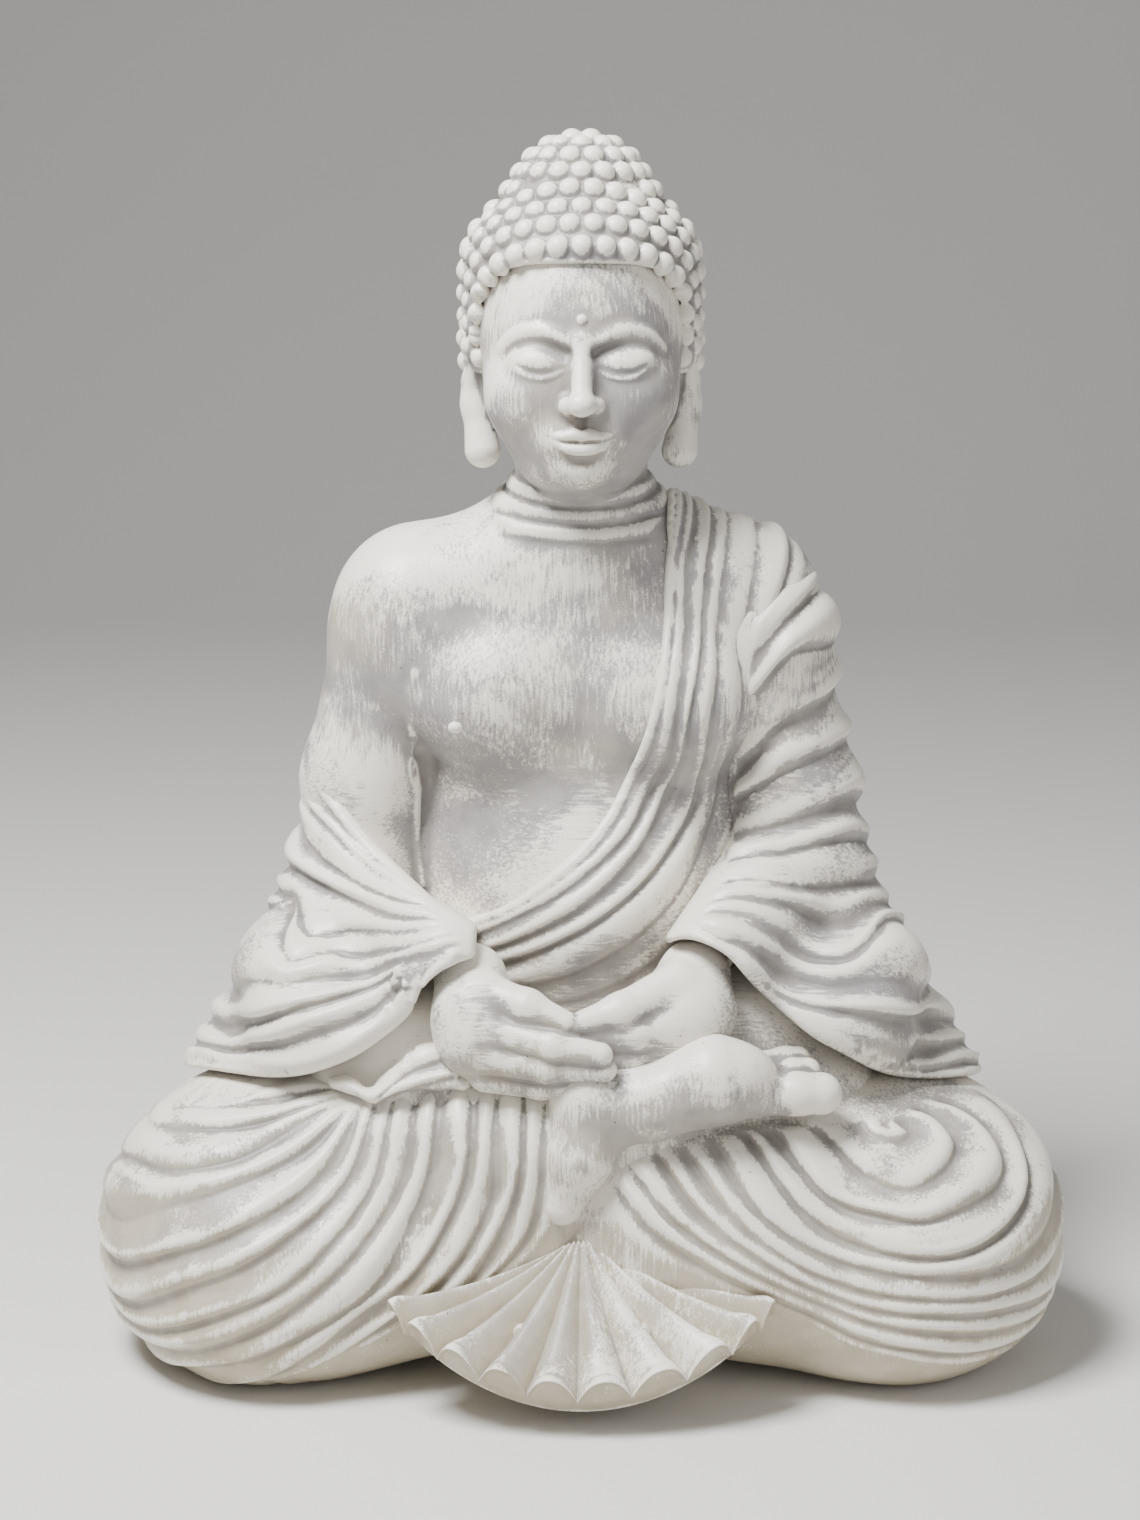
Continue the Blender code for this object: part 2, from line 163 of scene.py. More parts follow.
def drawn(points, field):
    """Where the eye's rays through sketch points, in metres, meet a form."""
    uv = np.array(points, F)
    rays = AHEAD * EYE_DISTANCE + uv[:, :1] * RIGHT + uv[:, 1:] * UP
    rays /= np.linalg.norm(rays, axis=1)[:, None]
    far = np.full(len(uv), EYE_DISTANCE - 0.3, F)
    for _ in range(60):
        d = field(EYE + rays * far[:, None])
        far = np.minimum(far + np.clip(d * 0.7, -0.01, 0.02), EYE_DISTANCE + 0.06)
    return EYE + rays * far[:, None]


def eased(rows, between):
    """Rows with smooth ones added between them, on a spline through every row."""
    padded = np.concatenate([2 * rows[:1] - rows[1:2], rows, 2 * rows[-1:] - rows[-2:-1]])
    fine = []
    for a, b, c, d in zip(padded, padded[1:], padded[2:], padded[3:]):
        for t in np.linspace(0, 1, between, endpoint=False, dtype=F):
            bend = 2 * a - 5 * b + 4 * c - d + t * (3 * (b - c) + d - a)
            fine.append(b + 0.5 * t * (c - a + t * bend))
    return np.array(fine + [rows[-1]], F)


def lengths(line):
    """How far along a line each of its points lies."""
    return np.concatenate([[0], np.cumsum(np.linalg.norm(np.diff(line, axis=0), axis=1))])


def stations(line, at):
    """The points of a line at the given distances along it."""
    run = lengths(line)
    return np.stack([np.interp(at, run, line[:, i]) for i in range(line.shape[1])], -1).astype(F)


def curve(points, count):
    """An even run of points on a smooth curve through the given ones."""
    fine = eased(np.array(points, F), 16)
    return stations(fine, np.linspace(0, lengths(fine)[-1], count))


def outline_distance(points, q):
    """Signed distance from sketch points to a closed outline, negative inside."""
    best = np.full(len(q), 1e9, F)
    inside = np.zeros(len(q), bool)
    for a, b in zip(points, np.roll(points, -1, axis=0)):
        along, away = b - a, q - a
        t = np.clip(away @ along / max(along @ along, 1e-12), 0, 1)
        best = np.minimum(best, ((away - t[:, None] * along) ** 2).sum(1))
        crosses = (a[1] > q[:, 1]) != (b[1] > q[:, 1])
        with np.errstate(divide="ignore", invalid="ignore"):
            left = q[:, 0] < (b[0] - a[0]) * (q[:, 1] - a[1]) / (b[1] - a[1]) + a[0]
        inside ^= crosses & left
    return np.sqrt(best) * np.where(inside, -1, 1).astype(F)


class Area:
    """A closed outline on the sketch plane, with its signed distance kept on a fine grid."""
    def __init__(self, points, step=0.0015):
        self.low = points.min(0) - 0.02
        self.step = step
        size = np.ceil((points.max(0) + 0.02 - self.low) / step).astype(int) + 1
        axes = [self.low[i] + step * np.arange(size[i], dtype=F) for i in range(2)]
        grid = np.stack(np.meshgrid(*axes, indexing="ij"), -1).reshape(-1, 2).astype(F)
        self.values = outline_distance(points, grid).reshape(size)

    def distance(self, p):
        size = np.array(self.values.shape)
        at = np.clip((sketch(p) - self.low) / self.step, 0, size - 1.001).astype(F)
        i = at.astype(np.int32)
        f = at - i
        near, far = (self.values[i[:, 0] + k, i[:, 1]] * (1 - f[:, 1])
                     + self.values[i[:, 0] + k, i[:, 1] + 1] * f[:, 1] for k in (0, 1))
        return near * (1 - f[:, 0]) + far * f[:, 0]


def seen(u, v, y):
    """The point at depth y that the eye sees at a place on the sketch plane."""
    ray = AHEAD * EYE_DISTANCE + u * RIGHT + v * UP
    return tuple(float(c) for c in EYE + ray * ((y - EYE[1]) / ray[1]))


# ---------------------------------------------------------------- meshes

def grid_mesh(field, low, high, step):
    low, high = np.array(low, F), np.array(high, F)
    size = np.ceil((high - low) / step).astype(int) + 1
    axes = [low[i] + step * np.arange(size[i], dtype=F) for i in range(3)]
    values = np.empty(size, F)
    plane = np.stack(np.meshgrid(axes[1], axes[2], indexing="ij"), -1).reshape(-1, 2)
    rows = max(1, 300000 // len(plane))
    for i in range(0, size[0], rows):
        xs = axes[0][i:i + rows]
        p = np.empty((len(xs), len(plane), 3), F)
        p[..., 0] = xs[:, None]
        p[..., 1:] = plane
        values[i:i + rows] = field(p.reshape(-1, 3)).reshape(len(xs), size[1], size[2])
    grid = openvdb.FloatGrid(1.0)
    grid.copyFromArray(values)
    points, _, quads = grid.convertToPolygons(isovalue=0.0)
    points = points * step + low
    a, b, c = (points[quads[:, i]] for i in range(3))
    inward = (np.cross(b - a, c - a) * (a - points.mean(0))).sum() < 0
    return points, quads[:, ::-1] if inward else quads


def slope(field, p, reach=2e-4):
    d = field(p)
    g = np.empty_like(p)
    for i in range(3):
        q = p.copy()
        q[:, i] += reach
        g[:, i] = (field(q) - d) / reach
    return d, g


def settle(field, p, rounds=2, most=0.004):
    """Moves points onto a field's surface; gives them back with the field's normals."""
    for _ in range(rounds):
        d, g = slope(field, p)
        step = d[:, None] * g / np.maximum((g * g).sum(1), 1e-4)[:, None]
        size = np.linalg.norm(step, axis=1)[:, None]
        p = p - step * np.minimum(1, most / np.maximum(size, 1e-9))
    return p, g / np.maximum(np.linalg.norm(g, axis=1), 1e-6)[:, None]


def new_mesh(name, points, faces):
    mesh = bpy.data.meshes.new(name)
    mesh.vertices.add(len(points))
    mesh.vertices.foreach_set("co", points.astype(F).ravel())
    mesh.loops.add(faces.size)
    mesh.loops.foreach_set("vertex_index", faces.astype(np.int32).ravel())
    mesh.polygons.add(len(faces))
    mesh.polygons.foreach_set("loop_start", np.arange(0, faces.size, faces.shape[1], dtype=np.int32))
    mesh.update(calc_edges=True)
    mesh.validate()
    obj = bpy.data.objects.new(name, mesh)
    bpy.context.scene.collection.objects.link(obj)
    return obj


def read(items, key, width, kind=F):
    flat = np.empty(len(items) * width, kind)
    items.foreach_get(key, flat)
    return flat.reshape(-1, width)


def corners(obj):
    return read(obj.data.vertices, "co", 3)


def edges(obj):
    return read(obj.data.edges, "vertices", 2, np.int32)


def move_to(obj, p):
    obj.data.vertices.foreach_set("co", p.astype(F).ravel())
    obj.data.update()


def refine(obj, levels):
    if levels == 0:
        return
    mod = obj.modifiers.new("finer", "SUBSURF")
    mod.levels = mod.render_levels = levels
    graph = bpy.context.evaluated_depsgraph_get()
    finer = bpy.data.meshes.new_from_object(obj.evaluated_get(graph))
    obj.modifiers.clear()
    obj.data = finer


def relaxed(p, pairs, rounds):
    count = np.bincount(pairs.ravel(), minlength=len(p)).astype(F)[:, None]
    for _ in range(rounds):
        total = np.stack([np.bincount(pairs[:, 0], p[pairs[:, 1], i], len(p))
                          + np.bincount(pairs[:, 1], p[pairs[:, 0], i], len(p)) for i in range(3)], 1)
        p = (0.5 * p + 0.5 * total / np.maximum(count, 1)).astype(F)
    return p


def finish(obj, node, reach=0.003):
    """Stores how far each point stands out of its surroundings, and places the piece."""
    p = corners(obj)
    pairs = edges(obj)
    length = np.linalg.norm(p[pairs[:, 0]] - p[pairs[:, 1]], axis=1).mean()
    rounds = int(np.clip((reach / length) ** 2 * 1.5, 3, 40))
    smooth = relaxed(p, pairs, rounds)
    wide = relaxed(smooth, pairs, rounds * 2)
    n = read(obj.data.vertices, "normal", 3)
    crest = ((p - smooth) * n).sum(1) / CREST_FULL
    broad = ((smooth - wide) * n).sum(1) / (2 * CREST_FULL)
    layer = obj.data.attributes.new("crest", "FLOAT", "POINT")
    layer.data.foreach_set("value", np.clip(crest + 0.6 * broad, -1, 1).astype(F))
    move_to(obj, p + np.array((0, FORWARD, 0), F))
    obj.data.shade_smooth()
    obj.data.materials.append(STONE)
    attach(obj, "root")
    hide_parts(node)
    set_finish(obj, "washed_cast_stone")


def sculpt(name, node, field, low, high, step, levels, folds=(), calm=None):
    """A closed surface of a field, with the folds' heights added along its normals.

    The field is sampled on a grid of the given step from corner low to corner high, and the mesh
    is then divided levels times. Folds fade where calm, a distance, falls to nothing.
    """
    points, faces = grid_mesh(field, low, high, step)
    obj = new_mesh(name, points, faces)
    refine(obj, levels - DETAIL)
    p, n = settle(field, corners(obj))
    height = np.zeros(len(p), F)
    for fold in folds:
        height += fold(p, n)
    if calm:
        height *= smoothstep(0.0, 0.006, calm(p))
    p = p + n * height[:, None]
    if folds:
        p = relaxed(p.astype(F), edges(obj), 2 - DETAIL)
    move_to(obj, p)
    print(name, len(obj.data.polygons), "faces")
    finish(obj, node)


# ---------------------------------------------------------------- folds

def smoothstep(low, high, x):
    t = np.clip((x - low) / (high - low), 0, 1)
    return t * t * (3 - 2 * t)


def tree_of(points):
    tree = kdtree.KDTree(len(points))
    for i, q in enumerate(points):
        tree.insert(q, i)
    tree.balance()
    return tree


class Sheet:
    """A sheet of fold lines on a form. Line i runs along s = i, with t from 0 to 1.

    A line's points are places on the sketch, or (x, y, z) where the eye cannot see them.
    """

    def __init__(self, lines, field, along=90, across=14):
        runs = []
        for line in map(metres, lines):
            placed = iter(drawn([q for q in line if len(q) == 2], field))
            runs.append(curve([next(placed) if len(q) == 2 else q for q in line], along))
        rows = eased(np.array(runs, F), across)
        self.flat = settle(field, rows.reshape(-1, 3), 3, 0.02)[0]
        self.count, self.across, self.along = len(lines), across, along
        ds, dt = np.gradient(self.flat.reshape(rows.shape), axis=(0, 1))
        self.ds = ds.reshape(-1, 3) * across
        self.dt = dt.reshape(-1, 3) * (along - 1)
        self.tree = tree_of(self.flat)

    def locate(self, p):
        """For each point: s, t, its distance off the sheet and the gap between lines there."""
        hit = np.array([self.tree.find(q)[1] for q in p], np.int32)
        a, b = self.ds[hit], self.dt[hit]
        r = p - self.flat[hit]
        aa, bb, ab = (a * a).sum(1), (b * b).sum(1), (a * b).sum(1)
        ra, rb = (r * a).sum(1), (r * b).sum(1)
        det = np.maximum(aa * bb - ab * ab, 1e-12)
        s = (ra * bb - rb * ab) / det
        t = (rb * aa - ra * ab) / det
        off = np.linalg.norm(r - s[:, None] * a - t[:, None] * b, axis=1)
        s = hit // self.along / self.across + np.clip(s, -0.6, 0.6)
        t = hit % self.along / (self.along - 1) + np.clip(t, -0.2, 0.2)
        sine = np.sqrt(np.maximum(1 - ab * ab / np.maximum(aa * bb, 1e-12), 0.02))
        return s, t, off, np.sqrt(aa) * sine


def chance(n, seed):
    """A steady random number from 0 to 1 for each whole number n."""
    x = np.sin(n * 12.9898 + seed * 78.233) * 43758.547
    return x - np.floor(x)


def pleats(sheet, per=1.0, depth=0.004, steep=0.34, sharp=2.4, ends=(0.04, 0.04),
           sides=(0.4, 0.4), wander=0.12, seed=0.0, uneven=0.7, fine=0.0, lean=1.5):
    """Rounded ridges with narrow valleys between, along a sheet's lines.

    per is the ridges from one line to the next. uneven makes the folds' heights differ and some
    of them die out along the way, fine adds small creases between them, and lean moves each
    crest towards the next line.
    """
    def height(p, _):
        s, t, off, width = sheet.locate(p)
        phase = s * per
        drift = np.sin(2.1 * phase + 4.0 * t + seed) * np.sin(5.0 * t + 1.7 * phase + seed)
        phase = phase + wander * (drift + 0.5 * np.sin(11.0 * t + 2.9 * phase + 2 * seed))
        fold = np.floor(phase)
        u = phase - fold
        skew = 0.35 * (chance(fold, seed + 3) - 0.5) * uneven
        u = np.clip(u + skew * np.sin(math.pi * u), 0, 1) ** lean
        plump = 1 - np.abs(2 * u - 1) ** sharp
        keen = np.sin(math.pi * u) ** (1.2 + 0.6 * chance(fold, seed + 5))
        ridge = keen + (plump - keen) * np.where(chance(fold, seed + 6) < 0.35, 0.8, 0.2)
        tall = np.minimum(depth, steep * width / per)
        tall = tall * (1 - uneven * 0.55 * chance(fold, seed))
        dies = chance(fold, seed + 1) < 0.4 * uneven
        stop = 0.25 + 0.5 * chance(fold, seed + 2)
        run = np.where(chance(fold, seed + 4) < 0.5, t, 1 - t)
        tall = tall * np.where(dies, 1 - 0.65 * smoothstep(stop, stop + 0.3, run), 1)
        rise = ridge * tall
        if fine:
            small = phase * 3 + 0.6 * np.sin(9 * t + 3 * phase + seed)
            v = small - np.floor(small)
            patch = smoothstep(0.1, 0.6, np.sin(7 * t + 2.3 * phase + seed) * np.sin(3 * phase - 5 * t))
            rise = rise + fine * patch * (1 - np.abs(2 * v - 1) ** 2)
        last = sheet.count - 1
        fade = smoothstep(0, ends[0], t) * smoothstep(0, ends[1], 1 - t)
        fade = fade * smoothstep(-sides[0], 0, s) * smoothstep(-sides[1], 0, last - s)
        fade = fade * smoothstep(0.016, 0.006, off)
        return ((rise - 0.45 * tall) * fade).astype(F)
    return height


# ---------------------------------------------------------------- the figure's forms

def leg(side, shin_inner, knee_depth):
    return [
        limb((side * 0.048, 0.05, 0.066), (side * 0.142, -0.018, 0.068), 0.06, 0.056),
        ball((side * 0.152, -0.036, 0.06), (0.064, knee_depth, 0.06)),
        ball((side * 0.135, -0.034, 0.03), (0.072, 0.078, 0.036)),
        limb((side * 0.138, -0.063, 0.053), shin_inner, 0.05, 0.042),
    ]


LEG_RIGHT = leg(-1, (-0.02, -0.058, 0.052), 0.066) + [
    limb((-0.105, -0.042, 0.09), (-0.016, -0.058, 0.099), 0.044, 0.041)]
LEG_LEFT = leg(1, (0.05, -0.06, 0.056), 0.068) + [
    limb((0.066, -0.062, 0.06), (0.004, -0.056, 0.056), 0.049, 0.042),
    limb((0.118, -0.044, 0.082), (0.03, -0.059, 0.083), 0.044, 0.04)]
SEAT = [
    ball((0.0, 0.042, 0.085), (0.114, 0.074, 0.078)),
    ball((0.0, 0.01, 0.032), (0.16, 0.096, 0.046)),
    limb((-0.048, 0.05, 0.064), (-0.12, 0.0, 0.064), 0.06, 0.055),
    limb((0.048, 0.05, 0.064), (0.12, 0.0, 0.064), 0.06, 0.055),
    ball((0.0, -0.044, 0.108), (0.085, 0.05, 0.038)),
    ball((-0.074, -0.034, 0.118), (0.055, 0.04, 0.035)),
    ball((0.078, -0.034, 0.116), (0.056, 0.04, 0.035)),
    ball((-0.066, -0.04, 0.15), (0.028, 0.026, 0.024)),
    ball((0.068, -0.038, 0.152), (0.028, 0.026, 0.024)),
]


def on_ground(p, d):
    return common(0.004, d, -p[:, 2])


def right_leg_form(p):
    return on_ground(p, grow(p, LEG_RIGHT, 0.02))


def left_leg_form(p):
    return on_ground(p, grow(p, LEG_LEFT, 0.02))


def seat_form(p):
    return on_ground(p, grow(p, SEAT, 0.02))


def lap_form(p):
    return on_ground(p, grow(p, LEG_RIGHT + LEG_LEFT + SEAT, 0.02))


TRUNK = [
    ball((0.0, 0.042, 0.12), (0.1, 0.066, 0.085)),
    ball((0.0, 0.028, 0.208), (0.079, 0.052, 0.085)),
    ball((0.0, 0.026, 0.292), (0.08, 0.052, 0.066)),
    limb((-0.072, 0.022, 0.328), (0.072, 0.022, 0.328), 0.031, 0.031),
    limb((-0.068, 0.022, 0.336), (0.0, 0.022, 0.358), 0.025, 0.034),
    limb((0.068, 0.022, 0.336), (0.0, 0.022, 0.358), 0.025, 0.034),
]
NECK = [limb((0.0, 0.018, 0.35), (0.0, 0.01, 0.41), 0.031, 0.028)]
BELLY = ball((0.0, 0.004, 0.196), (0.052, 0.044, 0.056))
BREAST = ball((0.036, -0.002, 0.293), (0.04, 0.03, 0.034))
NIPPLE = ball((-0.055, -0.0345, 0.284), (0.0032, 0.0032, 0.0032))
UPPER_ARM = [
    ball((-0.08, 0.02, 0.315), (0.0315, 0.036, 0.041)),
    limb((-0.083, 0.02, 0.314), (-0.0985, 0.02, 0.25), 0.0285, 0.0275),
    limb((-0.0985, 0.02, 0.25), (-0.0985, 0.014, 0.2), 0.0275, 0.026),
]


def trunk_form(p):
    d = grow(p, TRUNK, 0.022)
    d = melt(0.018, d, distance(p, BELLY))
    q = mirrored(p)
    d = melt(0.01, d, distance(q, BREAST))
    return melt(0.007, d, grow(p, NECK, 0.01))


def plain_body(p):
    d = melt(0.022, trunk_form(p), distance(p, UPPER_ARM[0]))
    return melt(0.008, d, grow(p, UPPER_ARM[1:], 0.01))


SEAM = chain(drawn(metres([(-73.7, 45.3), (-74.8, 20.6), (-72.4, -6.9), (-72.9, -28.9), (-70, -48)]),
                   plain_body), (0.0004, 0.0009, 0.0012, 0.0012, 0.0009))


def body_form(p):
    d = melt(0.003, plain_body(p), grow(p, SEAM, 0.001))
    return melt(0.0015, d, distance(p, NIPPLE))


def arm(side, upper):
    """The sleeve from a height on the upper arm down to the wrist and over the thigh."""
    return [
        limb((side * 0.0945, 0.02, upper), (side * 0.097, 0.016, 0.21), 0.029, 0.033),
        limb((side * 0.096, 0.01, 0.208), (side * 0.058, -0.058, 0.184), 0.031, 0.0245),
        limb((side * 0.097, 0.018, 0.205), (side * 0.136, 0.004, 0.128), 0.032, 0.036),
        ball((side * 0.106, -0.018, 0.156), (0.052, 0.056, 0.036), (0, -28 * side, 0)),
    ]


RIGHT_SLEEVE = arm(-1, 0.262)
LEFT_SLEEVE = arm(1, 0.25) + [
    ball((0.079, 0.02, 0.313), (0.034, 0.038, 0.042)),
    limb((0.08, 0.02, 0.314), (0.0935, 0.02, 0.25), 0.031, 0.03)]

RIGHT_CUFF = [(-122, 23), (-115, 2), (-99, -21), (-84, -37), (-66, -54)]
RIGHT_HEM = [(-47, -81), (-63, -89), (-74, -104), (-86, -115),
             (-105, -127), (-132, -134), (-170, -130), (-260, -118)]
LEFT_HEM = [(30, -80), (45, -72.5), (63, -79), (76.5, -93.5), (99, -113.5), (114, -122.5),
            (137, -133), (167, -134), (192, -128), (260, -110)]
ROBE_EDGE = [(38, 160), (38, 123), (38, 96), (36, 65), (32, 34),
             (24, 8), (10, -19), (-9, -40), (-32, -57), (-59, -66)]
FLANK_EDGE = [(-59, -66), (-72, -50), (-77, -20), (-79, 15),
              (-76, 45), (-70, 72), (-80, 100)]


def outlined(*runs):
    """A closed area from runs of points, each with whether it is a smooth curve."""
    return Area(np.vstack([curve(metres(run), 6 * len(run)) if smooth else np.array(metres(run), F)
                           for run, smooth in runs]))


RIGHT_SLEEVE_AREA = outlined(([(-260, 55)], False), (RIGHT_CUFF, True),
                             ([(-46, -66)], False), (RIGHT_HEM, True))
LEFT_SLEEVE_AREA = outlined(([(260, 200), (60, 200), (60, 100), (60, 0), (50, -50), (40, -64)], False),
                            (LEFT_HEM, True))
BARE_AREA = outlined((ROBE_EDGE, True), (FLANK_EDGE, True),
                     ([(-300, 100), (-300, 300), (38, 300)], False))
BACK_EDGE_Z = 0.338       # where the robe's edge crosses the middle of the back
BACK_EDGE_RISE = 0.62


def sleeve(p, shapes, area, opening):
    """Cloth over the arm and the thigh, open where the hand comes out."""
    d = melt(0.03, grow(p, shapes, 0.014), lap_form(p) - CLOTH)
    d = common(0.0035, d, area.distance(p))
    return carve(0.005, d, grow(p, opening, 0.004))


def near_edge(area, opening):
    """How far points of a sleeve lie from its cuff and hem, where folds die out."""
    return lambda p: np.minimum(grow(p, opening, 0.004), -area.distance(p)) - 0.001


RIGHT_OPENING = [limb((-0.066, -0.05, 0.18), (-0.03, -0.1, 0.16), 0.0165, 0.02)]
LEFT_OPENING = [limb((0.066, -0.046, 0.18), (0.03, -0.096, 0.16), 0.0165, 0.02)]


def right_sleeve_form(p):
    return sleeve(p, RIGHT_SLEEVE, RIGHT_SLEEVE_AREA, RIGHT_OPENING)


def left_sleeve_form(p):
    return sleeve(p, LEFT_SLEEVE, LEFT_SLEEVE_AREA, LEFT_OPENING)


def robe_form(p):
    front = -BARE_AREA.distance(p)
    back = (p[:, 2] - BACK_EDGE_Z - BACK_EDGE_RISE * p[:, 0]) * 0.85
    behind = smoothstep(0.015, 0.045, p[:, 1]).astype(F)
    region = front * (1 - behind) + back * behind
    return common(0.0015, trunk_form(p) - CLOTH, region)


# ---------------------------------------------------------------- fold lines

RIGHT_KNEE_LINES = [
    [(-106, -139), (-136, -143), (-161, -147), (-180, -148)],
    [(-103, -143), (-130, -158), (-161, -171), (-191, -174), (-206, -164),
     (-195, 10, 100)],
    [(-95, -141), (-113, -174), (-145, -197), (-176, -210), (-208, -215),
     (-205, 0, 72), (-170, 50, 70)],
    [(-82, -138), (-93, -183), (-124, -221), (-156, -238), (-198, -243),
     (-200, 0, 44), (-165, 50, 44)],
    [(-62, -134), (-68, -180), (-94, -227), (-127, -249), (-168, -262),
     (-192, -258)],
    [(-37, -137), (-39, -180), (-57, -217), (-85, -243), (-120, -262)],
    [(-16, -143), (-18, -180), (-25, -206), (-45, -228), (-70, -246)],
]

LEFT_KNEE_LINES = [
    [(122, -153), (130, -161), (140, -163), (146, -158), (138, -152)],
    [(83, -155), (108, -186), (132, -197), (156, -200), (179, -188),
     (187, -171), (175, -152), (152, -141)],
    [(56, -159), (80, -195), (108, -214), (143, -223), (181, -221),
     (203, -205), (209, -183), (203, -160), (185, -140)],
    [(30, -164), (56, -197), (92, -222), (124, -235), (159, -239),
     (189, -236), (210, -222), (212, 0, 62), (180, 45, 75)],
    [(10, -176), (29, -201), (53, -217), (83, -231), (118, -247),
     (150, -255), (190, -252), (200, 0, 35), (165, 50, 45)],
]

CHEST_LINES = [
    [(38, 150), (38, 96), (36, 65), (32, 34), (24, 8),
     (10, -19), (-9, -40), (-32, -57), (-59, -66)],
    [(48, 145), (48, 96), (47, 65), (43, 34), (36, 4),
     (22, -25), (-1, -48), (-30, -65), (-57, -76)],
    [(64, 138), (64, 88), (61, 53), (57, 22), (50, -10),
     (37, -37), (14, -62), (-18, -80), (-50, -88)],
    [(88, 128), (85, 73), (78, 34), (73, 0), (67, -30),
     (58, -55), (36, -80), (4, -97), (-34, -102)],
]

LEFT_SLEEVE_LINES = [
    [(78, 85), (94, 100), (105, 108), (105, 50, 352)],
    [(74, 50), (94, 72), (112, 85), (122, 40, 315), (100, 62, 318)],
    [(68, 5), (90, 24), (116, 45), (127, 40, 275), (100, 58, 285)],
    [(66, -28), (92, -20), (120, -10), (130, 40, 232), (100, 55, 240)],
    [(60, -48), (90, -46), (121, -46), (132, 40, 200), (100, 55, 200)],
    [(50, -62), (87, -68), (123, -76), (140, 40, 165), (110, 65, 150)],
    [(44, -70), (80, -92), (120, -105), (165, -108), (160, 45, 120)],
    [(40, -79), (64, -98), (83, -115), (106, -127), (137, -132), (185, -124)],
]

RIGHT_SLEEVE_LINES = [
    [(-100, 50, 262), (-122, 30), (-115, 2), (-99, -21), (-80, -41)],
    [(-100, 55, 230), (-126, 0), (-110, -27), (-89, -45), (-70, -53)],
    [(-100, 55, 200), (-127, -42), (-105, -56), (-82, -63), (-60, -64)],
    [(-110, 60, 165), (-131, -78), (-107, -78), (-78, -76), (-52, -71)],
    [(-150, 45, 125), (-160, -110), (-124, -102), (-86, -90), (-50, -77)],
    [(-190, -124), (-132, -134), (-105, -127), (-86, -115), (-74, -104),
     (-47, -81)],
]


# ---------------------------------------------------------------- hands and foot

def strand(points, radii):
    """Limbs through places (u, v, depth) on the sketch, all in millimetres."""
    return chain([seen(*q) for q in metres(points)], [r / 1000 for r in radii])


RIGHT_PALM = [
    *strand([(-49, -90.5, -60), (-47, -102, -70)], (16, 17.5)),
    ball(seen(-0.046, -0.1125, -0.074), (0.0185, 0.019, 0.019)),
    *strand([(-45, -118, -77), (-26, -124, -83)], (14.5, 10.5)),
]
RIGHT_FINGERS = [
    strand([(-40, -113, -86), (-13, -120.3, -96), (8.5, -123.8, -99.5)], (8, 6.7, 5.2)),
    strand([(-43, -123.5, -86), (-16, -129.2, -95), (10.5, -130.4, -98)], (8.2, 6.7, 5)),
    strand([(-42, -132.5, -82), (-18, -136.8, -90), (0, -137.2, -93)], (7.8, 6.2, 5)),
]
RIGHT_THUMB = strand([(-44.5, -96.5, -75), (-24, -103, -86), (-7, -109.5, -92)], (9.8, 7.6, 5))
LEFT_PALM = [
    *strand([(50, -89, -56), (48, -100, -64)], (16, 17.5)),
    ball(seen(0.045, -0.107, -0.068), (0.022, 0.02, 0.019)),
    *strand([(42, -113, -70), (16, -119, -78)], (15, 12)),
]
LEFT_FINGERS = [
    strand([(46, -109, -76), (23, -115, -84), (-2, -117, -88)], (9, 7.8, 7)),
    strand([(44, -119, -74), (22, -124, -82), (0, -126, -86)], (9, 8, 7)),
]
LEFT_THUMB = strand([(43, -93, -71), (17, -105, -84), (-3, -110.8, -91)], (10.3, 7.8, 5))


def hand(p, palm, fingers, thumb):
    d = grow(p, palm, 0.01)
    strands = melt(0.0008, *(grow(p, finger, 0.003) for finger in fingers))
    d = melt(0.0035, d, strands)
    return melt(0.003, d, grow(p, thumb, 0.004))


def hands_form(p):
    return melt(0.0006, hand(p, RIGHT_PALM, RIGHT_FINGERS, RIGHT_THUMB),
                hand(p, LEFT_PALM, LEFT_FINGERS, LEFT_THUMB))


FOOT = strand([(4, -143, -85), (31, -145, -88), (58, -135, -86), (74, -136.5, -83)],
              (14.6, 14.2, 17.2, 13.8))
PADS = [
    ball(seen(0.003, -0.1425, -0.088), (0.015, 0.014, 0.015)),
    ball(seen(0.07, -0.133, -0.087), (0.012, 0.0125, 0.0125), (0, 20, 0)),
]
TOES = [
    strand([(79, -143, -86), (95, -141, -84), (106, -141, -82)], (7.8, 9, 9.2)),
    strand([(78, -135, -78), (93, -132, -74), (100, -131, -72)], (6.6, 6.2, 5.8)),
    strand([(76, -129, -71), (90, -126.5, -67), (96, -125.5, -64)], (6.2, 5.8, 5.4)),
]
SHIN = strand([(7, -150, -84), (-0.5, -168, -92), (-8.5, -190, -93)],
              (13.8, 12.8, 9))


def foot_form(p):
    d = melt(0.006, grow(p, FOOT, 0.012), *(distance(p, pad) for pad in PADS))
    d = melt(0.0035, d, melt(0.001, *(grow(p, toe, 0.003) for toe in TOES)))
    return melt(0.014, d, grow(p, SHIN, 0.01))


TUCK = outlined(([(-52, -116), (-72, -121), (-86, -131), (-94.5, -141.5),
                  (-90, -144.5), (-80, -142), (-66, -140), (-50, -140)], True))
EAR_OF_TUCK = outlined(([(-113, -134), (-103, -133), (-96, -138), (-92.5, -144),
                         (-102, -141.5), (-111, -138.5)], True))
TUCK_LINES = [
    [(-56, -112), (-75, -124), (-94, -144)],
    [(-54, -122), (-74, -132), (-93.5, -144.8)],
    [(-53, -132), (-73, -138), (-93, -145.4)],
    [(-52, -144), (-72, -144), (-92, -146.2)],
]


